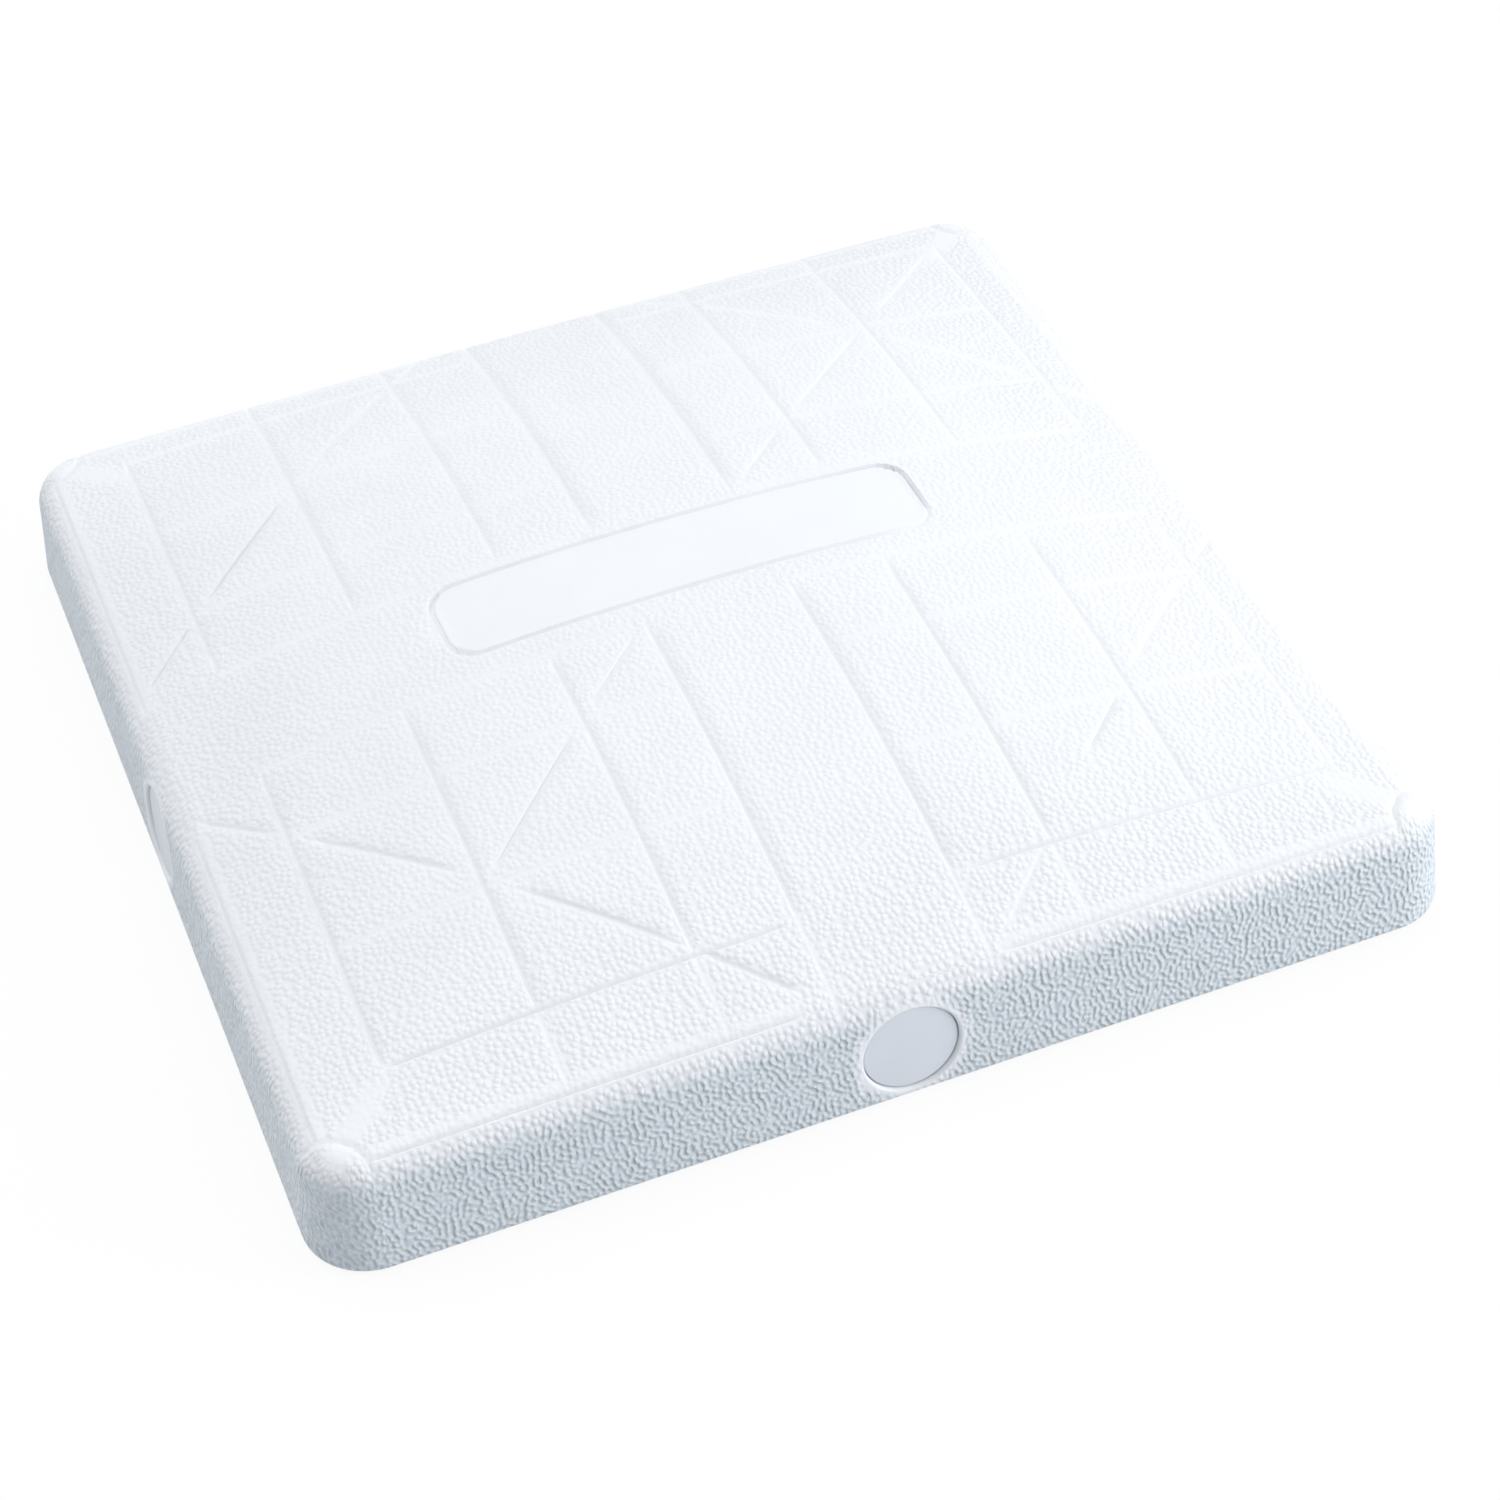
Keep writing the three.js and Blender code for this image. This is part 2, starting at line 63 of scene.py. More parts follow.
# Grooves of the top: which line on which side of the middle, then its share of the full depth in each half
FAINT = 0.1
UPRIGHT_LINES = (
    (-4, 1.0, 1.0), (-3, 1.0, 0.9), (-2, 0.8, 0.8), (-1, 0.95, 0.8),
    (1, 0.95, 0.8), (2, 0.7, 0.7), (3, 0.5, 0.5), (4, 0.5, 0.3),
)
LEVEL_LINES = (
    (-4, 1.2, 1.2), (-3, 0.2, FAINT), (-2, 0.18, FAINT), (-1, 0.2, FAINT),
    (1, FAINT, FAINT), (2, 0.15, FAINT), (3, 0.15, FAINT), (4, 0.15, 0.15),
)
OUTER_LINE = 4
# Pieces of the slanting square in each quarter: start and end from the middle, share of the full depth
SLANTING_SQUARE = {
    (-1, 1): ((0.181, 0.163, 1.0), (0.152, 0.117, 1.2), (0.099, 0.064, 0.5), (0.057, 0.035, 0.3)),
    (-1, -1): ((0.181, 0.163, 1.0), (0.152, 0.117, 1.0), (0.099, 0.064, 1.2), (0.057, 0.035, 1.2)),
    (1, -1): ((0.181, 0.163, 0.6), (0.152, 0.117, 0.3), (0.104, 0.086, 0.9), (0.057, 0.035, 0.3)),
    (1, 1): ((0.181, 0.163, FAINT), (0.152, 0.117, FAINT), (0.099, 0.064, FAINT), (0.057, 0.035, FAINT)),
}
# Pieces of the diagonal: start and end from the middle, share of the full depth
DIAGONAL = (
    (-0.053, -0.033, 0.6), (-0.104, -0.066, 0.85),
    (0.033, 0.053, 0.5), (0.066, 0.104, 0.35), (0.120, 0.153, 0.2),
)
SLANTING_WIDTH = 1.1
# Rim line and the fainter line inside it: half width and depth
RIM_LINES = ((0.8 * MM, 0.9 * MM), (0.7 * MM, 0.35 * MM))
# A groove fades out over a share of its length, between these two lengths
FADE_SHARE, FADE_SHORTEST, FADE_LONGEST = 0.15, 2.5 * MM, 5 * MM
# The left flank of a groove is steeper than its right flank
LEFT_FLANK, RIGHT_FLANK = -0.45, 0.9
KNUCKLE_INSET, KNUCKLE_WIDTH, KNUCKLE_DEPTH = 5 * MM, 1.2 * MM, 0.8 * MM
PLATE_LINE, PLATE_FLOOR, PLATE_SLOPE = 1.3 * MM, 0.35 * MM, 3 * MM
# At its right end the plate's outline is narrower and deeper above, and shallower below
PLATE_RIGHT_END, PLATE_UPPER = (0.060, 0.082), (-14 * MM, -4 * MM)
PLATE_NARROWER, PLATE_DEEPER, PLATE_SHALLOWER = 0.4 * MM, 1.3, 0.6

# Grid of the top: spacing in the middle and near the edge, where the second begins, closest lines
GRID_SPACING, EDGE_SPACING, EDGE_FROM, CLOSEST = 3.6 * MM, 1.3 * MM, 0.162, 0.12 * MM
# Grid lines beside a rim line and the plate's outline in millimetres, and beside a groove in half widths
RIM_STEPS = (-1.4, -0.9, -0.45, 0, 0.45, 0.9)
PLATE_STEPS = (-1.8, -1, -0.5, 0, 0.5, 1, 1.8)
GROOVE_STEPS = (-2, -1.2, -0.6, 0, 0.6, 1.2, 2)
SLANTING_STEPS = (-1.38, -0.69, 0, 0.69, 1.38)
# Where faces are cut along the slanting grooves, from the middle of the pattern
SQUARE_REACH, DIAGONAL_REACH, CUT_BAND = (0.022, 0.195), (0.022, 0.164), 8 * MM

# Openings of the underside: corner radii, overshoot of the cutters, screw holes
LIP_CORNER, RECESS_CORNER, OVERSHOOT = 8 * MM, 9 * MM, 2 * MM
SCREW_HOLE_RADIUS, SCREW_HOLE_LEVELS = 3.3 * MM, (3 * MM, 12 * MM)

# Strength of the grain: beside a groove, on the middle of the top and more towards the edge
GROOVE_GRAIN, TOP_GRAIN, EDGE_GRAIN, CORNER_LOSS = 0.25, 0.24, 0.12, 0.85
SIDE_RUN = 0.6
WAVES_PER_CELL = 2
# Painted shade for the valleys of the pebble grain, a darker bluish grey
PAINTED_VALLEY_SHADE = (0.46, 0.56, 0.61)
WORN_ZINC = (0.42, 0.41, 0.39)
RUBBED_ENAMEL = (0.16, 0.16, 0.16)
ZINC_NAME, MARKS_NAME, SURFACE_MAP = "Zinc-plated steel", "Handling marks", "surface"

WHITE = (1, 1, 1, 1)
FLOOR_SIZE, FLOOR_COLOUR, FLOOR_SHADOW = 12, (0.80, 0.84, 0.88, 1), 0.12
# Light all round, weaker from the near left
FILL_COLOUR, DIM_WAY, DIM_RANGE, DIM_SHARE = (0.955, 0.963, 1.0, 1), (-0.78, -0.62, 0.0), (0.15, 0.9), 0.2
# Square lamps: their side, place and width
LAMPS = (("side", (1.34, -0.78, 0.42), 0.7), ("top", (-0.2, 0.3, 2.3), 2.4), ("left", (-1.0, 0.6, 1.7), 1.6))
SENSOR_WIDTH, CLIP_START = 36, 0.05


def number(name, description, default, **kind):
    """A property with one number, or with several where its default has several."""
    if isinstance(default, tuple):
        size = len(default)
        return FloatVectorProperty(name=name, description=description, default=default, size=size, **kind)
    return FloatProperty(name=name, description=description, default=default, **kind)


def metres(name, description, default):
    return number(name, description, default, unit="LENGTH")


def paint(name, description, default):
    return number(name, description, default, subtype="COLOR")


class CoverSizes(bpy.types.PropertyGroup):
    """Outside and inside of the rubber cover"""

    side: metres("Side", "Across the foot", 0.381)
    edge_height: metres("Edge height", "Height of the top edge", 0.040)
    crown_rise: metres("Crown", "Middle of the top above its edge", 0.025)
    crown_power: number("Crown power", "2 is a parabola, more is flatter", 2.4)
    side_draft: metres("Draft", "Lean of each side", 0.0027)
    edge_round: metres("Edge round", "Rounding of the top edge", 0.010)
    corner_radius: metres("Corner", "Corner radius at the foot", 0.022)
    foot_round: metres("Foot round", "Rounding along the foot", 0.0025)
    side_wall: metres("Side wall", "Thickness of the sides", 0.010)
    top_skin: metres("Top skin", "Thickness of the top", 0.008)
    lip_bottom: metres("Recess depth", "Depth of the plate's recess", 0.0048)
    lip_top: metres("Lip top", "Top of the turned-in lip", 0.0108)
    recess_side: metres("Recess", "Side of the plate's recess", 0.3026)
    lip_inner: metres("Lip opening", "Side of the lip's opening", 0.2566)


class GrooveSizes(bpy.types.PropertyGroup):
    """Grooves moulded into the top"""

    centre: metres("Centre", "Middle of the pattern", (0.004, 0.007))
    lines: metres("Lines", "Distances of the lines from the middle", (0.0255, 0.0593, 0.110, 0.159))
    middle_gap: metres("Middle gap", "Half width of the plain middle band", 0.031)
    diamond: metres("Diamond", "Reach of the slanting square", 0.216)
    half_width: metres("Half width", "Half width of a groove", 0.0009)
    depth: metres("Depth", "Depth of a groove", 0.0010)
    sink: metres("Sink", "Dip of a panel towards its grooves", 0.00022)
    rim_inset: metres("Rim inset", "Rim groove from the side", 0.0065)
    rim_step: metres("Rim step", "Rim groove to the fainter one inside it", 0.0026)
    rim_end: metres("Rim end", "End of the rim groove from the middle", 0.169)
    knuckle: metres("Knuckle", "Radius of the groove round a corner", 0.014)
    plate_centre: metres("Plate centre", "Middle of the bare plate", (0.0029, 0.0105))
    plate_size: metres("Plate size", "Width and height of the bare plate", (0.1717, 0.0366))
    plate_corner: metres("Plate corner", "Corner radius of the plate", 0.010)
    plate_depth: metres("Plate groove", "Depth of the plate's outline", 0.0016)


class PlugSizes(bpy.types.PropertyGroup):
    """Round plugs in the sides"""

    diameter: metres("Diameter", "Disc that shows", 0.0314)
    disc: metres("Disc", "Thickness of the disc", 0.004)
    shank_diameter: metres("Shank", "Diameter of the shank", 0.020)
    shank_length: metres("Shank length", "Length of the shank", 0.014)
    recess: metres("Recess", "Disc below the side's surface", 0.0012)
    height: metres("Height", "Middle of the plug above the ground", 0.019)
    clearance: metres("Clearance", "Room round the plug", 0.0003)
    lip: metres("Lip", "Rounding of the hole's edge", 0.0010)


class Finishes(bpy.types.PropertyGroup):
    """Colours of the surfaces"""

    rubber: paint("Rubber", "Moulded cover", (0.885, 0.905, 0.925))
    plug: paint("Plug", "Side plugs", (0.75, 0.785, 0.825))
    foam: paint("Foam", "Core", (0.33, 0.34, 0.36))
    zinc: paint("Zinc", "Plate, screws and nuts", (0.62, 0.63, 0.64))
    enamel: paint("Enamel", "Frame and stem plate", (0.05, 0.052, 0.056))
    grain_pitch: metres("Grain pitch", "Spacing of the pebble grain", 0.0023)


class StageSizes(bpy.types.PropertyGroup):
    """Camera and light"""

    aim: metres("Aim", "Point the camera looks at", (0.01018, -0.02507, 0.0))
    distance: metres("Distance", "Camera from that point", 1.16481)
    azimuth: number("Azimuth", "Camera round the base", math.radians(-18.84), subtype="ANGLE")
    elevation: number("Elevation", "Camera above the ground", math.radians(43.12), subtype="ANGLE")
    roll: number("Roll", "Camera turned about its own axis", math.radians(-3.89), subtype="ANGLE")
    focal: number("Focal length", "In millimetres on a 36 mm sensor", 81.739)
    top_power: number("Top", "Power of the lamp overhead", 11.0, unit="POWER")
    side_power: number("Side", "Power of the lamp that grazes the front", 9.5, unit="POWER")
    left_power: number("Left", "Power of the high lamp on the left", 5.5, unit="POWER")
    fill: number("Fill", "Strength of the surrounding light", 0.88)


def make_active(obj):
    bpy.ops.object.select_all(action="DESELECT")
    obj.select_set(True)
    bpy.context.view_layer.objects.active = obj


def start_edit(obj, action="SELECT", kind="EDGE"):
    """Opens a piece for editing, with all or none of it selected."""
    make_active(obj)
    bpy.ops.object.mode_set(mode="EDIT")
    bpy.ops.mesh.select_mode(type=kind)
    bpy.ops.mesh.select_all(action=action)


def smooth_by_angle(obj, degrees):
    make_active(obj)
    bpy.ops.object.shade_smooth_by_angle(angle=math.radians(degrees))


def read_all(items, name, width=1, kind=float):
    """One value, or one row of values, of every item."""
    flat = np.empty(len(items) * width, dtype=kind)
    items.foreach_get(name, flat)
    return flat.reshape(-1, width) if width > 1 else flat


def points_of(obj):
    return read_all(obj.data.vertices, "co", 3)


def place_points(obj, points):
    obj.data.vertices.foreach_set("co", np.ascontiguousarray(points).ravel())
    obj.data.update()


def smooth_step(low, high, value):
    share = np.clip((value - low) / (high - low), 0, 1)
    return share * share * (3 - 2 * share)


def bell(distance, reach):
    """1 at no distance, falling smoothly to 0 at the reach."""
    return 0.5 + 0.5 * np.cos(math.pi * np.clip(distance / reach, -1, 1))


def line_places(half, exact):
    """Places of the grid's lines along one axis: even ones, kept clear of the exact ones."""
    even = list(np.arange(-EDGE_FROM, EDGE_FROM + GRID_SPACING / 2, GRID_SPACING))
    near_edge = list(np.arange(EDGE_FROM + EDGE_SPACING, half, EDGE_SPACING))
    spread = sorted(even + near_edge + [-place for place in near_edge])
    fixed = [-half]
    for place in sorted(exact):
        if place - fixed[-1] > CLOSEST and half - place > CLOSEST:
            fixed.append(place)
    fixed.append(half)
    fixed = np.array(fixed)
    kept = []
    for place in spread:
        room = 0.5 * (GRID_SPACING if abs(place) <= EDGE_FROM else EDGE_SPACING)
        if np.abs(fixed - place).min() > room:
            kept.append(place)
    return np.array(sorted(list(fixed) + kept))


def grid_piece(name, places_x, places_y, half):
    """A grid whose lines lie at the given places."""
    steps_x, steps_y = len(places_x) - 1, len(places_y) - 1
    bpy.ops.mesh.primitive_grid_add(x_subdivisions=steps_x, y_subdivisions=steps_y, size=2 * half)
    obj = bpy.context.object
    obj.name = name
    points = points_of(obj)
    if len(points) != len(places_x) * len(places_y):
        raise RuntimeError("the grid has another number of lines than asked for")
    share = (points[:, :2] + half) / (2 * half)
    points[:, 0] = places_x[np.rint(share[:, 0] * steps_x).astype(int)]
    points[:, 1] = places_y[np.rint(share[:, 1] * steps_y).astype(int)]
    place_points(obj, points)
    return obj


def cut_lines(obj, lines, middle):
    """Cuts faces along slanting lines: each is a point, a normal and the faces' reach from the middle."""
    start_edit(obj, "DESELECT", "FACE")
    for (x, y), normal, (low, high) in lines:
        bpy.ops.mesh.select_all(action="DESELECT")
        mesh = bmesh.from_edit_mesh(obj.data)
        for face in mesh.faces:
            spot = face.calc_center_median()
            near = abs((spot.x - x) * normal[0] + (spot.y - y) * normal[1]) < CUT_BAND
            if near and low <= abs(spot.x - middle) <= high:
                face.select_set(True)
        bmesh.update_edit_mesh(obj.data)
        bpy.ops.mesh.bisect(plane_co=(x, y, 0), plane_no=(*normal, 0), threshold=WELD)
    bpy.ops.mesh.select_all(action="SELECT")
    bpy.ops.mesh.remove_doubles(threshold=CLOSEST)
    bpy.ops.object.mode_set(mode="OBJECT")


def round_corners(points, half, radius):
    """Moves the points of a square sheet so that its corners are round and its inner rings follow them."""
    core = half - radius
    away = np.abs(points[:, :2])
    sign = np.sign(points[:, :2])
    local = (away - core) / radius
    corner = (local > 0).all(axis=1)
    a, b = local[corner, 0], local[corner, 1]
    reach = np.maximum(a, b)
    turn = np.where(a >= b, b / np.maximum(a, TINY), 2 - a / np.maximum(b, TINY)) * (math.pi / 4)
    points[corner, 0] = sign[corner, 0] * (core + radius * reach * np.cos(turn))
    points[corner, 1] = sign[corner, 1] * (core + radius * reach * np.sin(turn))


def outline_depth(points, half, radius):
    """How far inside a round-cornered square the points lie, and the way out of it."""
    core = half - radius
    over = np.maximum(np.abs(points[:, :2]) - core, 0)
    length = np.hypot(over[:, 0], over[:, 1])
    flat = length < TINY
    depth = np.where(flat, half - np.abs(points[:, :2]).max(axis=1), radius - length)
    way = over / np.maximum(length, TINY)[:, None] * np.sign(points[:, :2])
    return depth, way


def top_half(sizes):
    """Half of the cover's side at the top edge."""
    return sizes.side / 2 - sizes.side_draft


def shoulder_height(sizes):
    """Height at which the side turns into the rounding of the top edge."""
    return sizes.edge_height - sizes.edge_round


def crown_height(points, sizes):
    fall = 1 - np.minimum(np.abs(points[:, :2]) / top_half(sizes), 1) ** sizes.crown_power
    return sizes.crown_rise * fall[:, 0] * fall[:, 1]


def extrude_sheet(obj, half, radius, levels):
    """Rounds a sheet's corners, lifts it to the first level, extrudes its border down and closes it below."""
    points = points_of(obj)
    round_corners(points, half, radius)
    points[:, 2] = levels[0]
    place_points(obj, points)
    start_edit(obj, "DESELECT")
    bpy.ops.mesh.select_non_manifold(
        extend=False, use_wire=False, use_multi_face=False, use_non_contiguous=False, use_verts=False
    )
    for above, below in zip(levels, levels[1:]):
        bpy.ops.mesh.extrude_edges_move(TRANSFORM_OT_translate={"value": (0, 0, below - above)})
    bpy.ops.mesh.edge_face_add()
    bpy.ops.mesh.select_all(action="SELECT")
    bpy.ops.mesh.normals_make_consistent(inside=False)
    bpy.ops.object.mode_set(mode="OBJECT")


def subtract(obj, cutter):
    """Cuts one closed piece out of another and removes the cutter."""
    make_active(obj)
    cut = obj.modifiers.new("cut", "BOOLEAN")
    cut.operation = "DIFFERENCE"
    cut.solver = "MANIFOLD"
    cut.object = cutter
    bpy.ops.object.modifier_apply(modifier=cut.name)
    bpy.data.objects.remove(cutter, do_unlink=True)


def turned_piece(name, profile, steps):
    """Spins a profile of (radius, height) points, which starts and ends on the axis, into a closed piece."""
    mesh = bpy.data.meshes.new(name)
    points = [(radius, 0, height) for radius, height in profile]
    mesh.from_pydata(points, [(i, i + 1) for i in range(len(points) - 1)], [])
    obj = bpy.data.objects.new(name, mesh)
    bpy.context.collection.objects.link(obj)
    start_edit(obj)
    bpy.ops.mesh.spin(steps=steps, angle=2 * math.pi, center=(0, 0, 0), axis=(0, 0, 1))
    bpy.ops.mesh.select_all(action="SELECT")
    bpy.ops.mesh.remove_doubles(threshold=WELD)
    bpy.ops.mesh.normals_make_consistent(inside=False)
    bpy.ops.object.mode_set(mode="OBJECT")
    return obj


def quarter_turn():
    """Sine and cosine of the angles that draw a rounded edge."""
    for degrees in range(0, 91, 18):
        turn = math.radians(degrees)
        yield math.sin(turn), math.cos(turn)


def cuboid(size, location=(0, 0, 0)):
    """A block of the given size, with its object left at the origin."""
    bpy.ops.mesh.primitive_cube_add(size=1, location=location, scale=size)
    bpy.ops.object.transform_apply(location=True, rotation=True, scale=True)
    return bpy.context.object


def square_block(name, side, corner, top):
    """A block with round corners from below the ground up, a cube with its upright edges bevelled."""
    bottom = -OVERSHOOT
    obj = cuboid((side, side, top - bottom), (0, 0, (bottom + top) / 2))
    obj.name = name
    start_edit(obj, "DESELECT")
    mesh = bmesh.from_edit_mesh(obj.data)
    for edge in mesh.edges:
        a, b = (v.co for v in edge.verts)
        edge.select_set(abs(a.z - b.z) > abs(a.x - b.x) + abs(a.y - b.y))
    bmesh.update_edit_mesh(obj.data)
    bpy.ops.mesh.bevel(offset=corner, segments=6, affect="EDGES", clamp_overlap=False)
    bpy.ops.object.mode_set(mode="OBJECT")
    return obj


def plug_place(index, sizes, cover):
    """Matrix that takes a piece turned about +Z, its face at z = 0 looking up, into one side."""
    slope = cover.side_draft / shoulder_height(cover)
    lean = math.atan(slope)
    out = Vector((0, -math.cos(lean), math.sin(lean)))
    face = Vector((0, slope * sizes.height - cover.side / 2, sizes.height)) - out * sizes.recess
    upright = Matrix.Rotation(math.pi / 2 - lean, 4, "X")
    return Matrix.Rotation(index * math.pi / 2, 4, "Z") @ Matrix.Translation(face) @ upright


def set_place(obj, matrix):
    """Puts a piece in place with its object left at the origin."""
    obj.data.transform(matrix)
    obj.data.update()


def finish_piece(obj, material, body, slot, *nodes):
    obj.data.materials.clear()
    obj.data.materials.append(material)
    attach(obj, body)
    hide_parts(*nodes)


def copy_piece(pattern, name, matrix):
    """Copies a pattern into its place."""
    piece = pattern.copy()
    piece.data = pattern.data.copy()
    piece.name = name
    bpy.context.collection.objects.link(piece)
    set_place(piece, matrix)
    smooth_by_angle(piece, 30)
    return piece


def groove_lines(grooves, cover):
    """Straight grooves as rows of x0, y0, x1, y1, half width, depth."""
    cx, cy = grooves.centre
    gap, border = grooves.middle_gap, grooves.lines[-1] - 2 * MM
    half = top_half(cover)
    past = half + 12 * MM
    wide, deep = grooves.half_width, grooves.depth
    rows = []

    def add(x0, y0, x1, y1, share, width=wide):
        rows.append((cx + x0, cy + y0, cx + x1, cy + y1, width, deep * share))

    for line, back, front in UPRIGHT_LINES:
        x = math.copysign(grooves.lines[abs(line) - 1], line)
        outer = abs(line) == OUTER_LINE
        add(x, gap, x, border if outer else past, back)
        add(x, -gap, x, -border, front)
        if not outer:
            add(x, -border, x, -past, FAINT)
    for line, left, right in LEVEL_LINES:
        y = math.copysign(grooves.lines[abs(line) - 1], line)
        add(-gap, y, -border, y, left)
        add(gap, y, border, y, right)
    reach, wider = grooves.diamond, SLANTING_WIDTH * wide
    for (sx, sy), pieces in SLANTING_SQUARE.items():
        for start, end, share in pieces:
            add(sx * start, sy * (reach - start), sx * end, sy * (reach - end), share, wider)
    for start, end, share in DIAGONAL:
        add(start, start, end, end, share, wider)

    rim = half - grooves.rim_inset
    for way in BOTH:
        start, end = way * (gap + 2 * MM), way * grooves.rim_end
        for side in BOTH:
            for inset, (width, depth) in zip((0, grooves.rim_step), RIM_LINES):
                place = side * (rim - inset)
                rows.append((start, place, end, place, width, depth))
                rows.append((place, start, place, end, width, depth))
    return np.array(rows)


def plate_edge(points, grooves):
    """Distance of points from the plate's outline, negative inside it."""
    corner = grooves.plate_corner
    inner = np.array(grooves.plate_size) / 2 - corner
    over = np.abs(points[:, :2] - np.array(grooves.plate_centre)) - inner
    outside = np.hypot(np.maximum(over[:, 0], 0), np.maximum(over[:, 1], 0))
    return outside + np.minimum(over.max(axis=1), 0) - corner


def groove_field(points, grooves, cover):
    """Depth of the grooves at each point, and its distances to the nearest one and to the plate's outline."""
    depth = np.zeros(len(points))
    nearest = np.full(len(points), 1.0)
    spot = points[:, :2]
    for x0, y0, x1, y1, width, deep in groove_lines(grooves, cover):
        start, end = np.array((x0, y0)), np.array((x1, y1))
        length = np.linalg.norm(end - start)
        way = (end - start) / length
        along = (spot - start) @ way
        fade = min(max(FADE_SHARE * length, FADE_SHORTEST), FADE_LONGEST)
        normal = np.array((way[1], -way[0])) * (1 if way[1] >= 0 else -1)
        across = (spot - start) @ normal
        spread = width * (1 + np.where(across < 0, LEFT_FLANK, RIGHT_FLANK) * normal[0])
        across = np.abs(across)
        ends = smooth_step(-0.5 * fade, fade, along) * smooth_step(-0.5 * fade, fade, length - along)
        depth = np.maximum(depth, deep * bell(across, spread) * ends)
        past_end = np.maximum(0, np.maximum(-along, along - length))
        nearest = np.minimum(nearest, np.hypot(across, past_end))

    half = top_half(cover)
    corner_spot = np.abs(spot) - (half - KNUCKLE_INSET)
    ring = np.abs(np.hypot(corner_spot[:, 0], corner_spot[:, 1]) - grooves.knuckle)
    inside = np.abs(spot).max(axis=1) < half - 0.5 * KNUCKLE_INSET
    depth = np.maximum(depth, np.where(inside, KNUCKLE_DEPTH * bell(ring, KNUCKLE_WIDTH), 0))
    nearest = np.minimum(nearest, ring)

    edge = plate_edge(points, grooves)
    right_end = smooth_step(*PLATE_RIGHT_END, spot[:, 0])
    upper = smooth_step(*PLATE_UPPER, spot[:, 1] - grooves.plate_centre[1])
    line = bell(edge, PLATE_LINE - PLATE_NARROWER * right_end * upper)
    deeper = 1 + right_end * (PLATE_DEEPER * upper - PLATE_SHALLOWER)
    floor = PLATE_FLOOR * smooth_step(0, PLATE_SLOPE, -edge)
    plate = grooves.plate_depth * line * deeper + floor
    depth = np.maximum(depth * smooth_step(0, PLATE_SLOPE, edge), plate)
    nearest = np.minimum(nearest, np.abs(edge))
    return depth, nearest, edge


def side_outset(levels, sizes):
    """How far the side stands out from its top edge at each height."""
    shoulder = shoulder_height(sizes)
    slope = sizes.side_draft / shoulder
    low = np.clip(sizes.foot_round - levels, 0, sizes.foot_round)
    turn_in = sizes.foot_round - np.sqrt(np.maximum(sizes.foot_round**2 - low**2, 0))
    return slope * (shoulder - levels) - turn_in


def cover_places(axis, sizes, grooves):
    """Places of the top's grid lines along one axis, close together where the form needs it."""
    half = top_half(sizes)
    rounding = [sizes.edge_round * (1 - math.cos(math.radians(a))) for a in range(10, 91, 10)]
    exact = [s * (half - inset) for inset in rounding for s in BOTH]
    rim = half - grooves.rim_inset
    exact += [s * (rim + d * MM) for d in RIM_STEPS for s in BOTH]
    centre, wide = grooves.centre[axis], grooves.half_width
    exact += [centre + s * line + d * wide for line in grooves.lines for s in BOTH for d in GROOVE_STEPS]
    low, high = (grooves.plate_centre[axis] + s * grooves.plate_size[axis] / 2 for s in BOTH)
    exact += [edge + d * MM for edge in (low, high) for d in PLATE_STEPS]
    bend = [grooves.plate_corner * step / 9 for step in range(1, 10)]
    exact += [low + d for d in bend] + [high - d for d in bend]
    return line_places(half, exact)


def slanting_cuts(grooves):
    """Lines along the slanting grooves, at which the faces of the top are cut."""
    cx, cy = grooves.centre
    offsets = [d * grooves.half_width for d in SLANTING_STEPS]
    cuts = []
    for sx in BOTH:
        for sy in BOTH:
            for d in offsets:
                out = grooves.diamond / 2 + d * SLANT
                cuts.append(((cx + sx * out, cy + sy * out), (sx * SLANT, sy * SLANT), SQUARE_REACH))
    for d in offsets:
        cuts.append(((cx + d * SLANT, cy - d * SLANT), (SLANT, -SLANT), DIAGONAL_REACH))
    return cuts


def shape_cover(cover, sizes, grooves):
    """Rounds the sheet's corners, extrudes its sides and raises its top to the crown, less the grooves."""
    half, shoulder = top_half(sizes), shoulder_height(sizes)
    radius = sizes.corner_radius - sizes.side_draft
    levels = [shoulder - d * MM for d in range(0, 27, 3)] + [4 * MM]
    levels += [sizes.foot_round * (1 - math.sin(math.radians(a))) for a in (0, 30, 60)] + [0]
    extrude_sheet(cover, half, radius, levels)

    points = points_of(cover)
    inset, way = outline_depth(points, half, radius)
    low = points[:, 2] < shoulder - 1e-7
    points[low, :2] += way[low] * side_outset(points[:, 2], sizes)[low, None]
    depth, nearest, edge = groove_field(points, grooves, sizes)
    over = np.clip(sizes.edge_round - inset, 0, sizes.edge_round)
    drop = sizes.edge_round - np.sqrt(np.maximum(sizes.edge_round**2 - over**2, 0))
    sink = grooves.sink * np.exp(-np.maximum(nearest, 0) / (3 * MM)) * smooth_step(0, 4 * MM, edge)
    level = sizes.edge_height + crown_height(points, sizes) - drop
    calm = smooth_step(0, 2.5 * MM, inset)
    points[~low, 2] = (level - (depth + sink) * calm)[~low]
    place_points(cover, points)


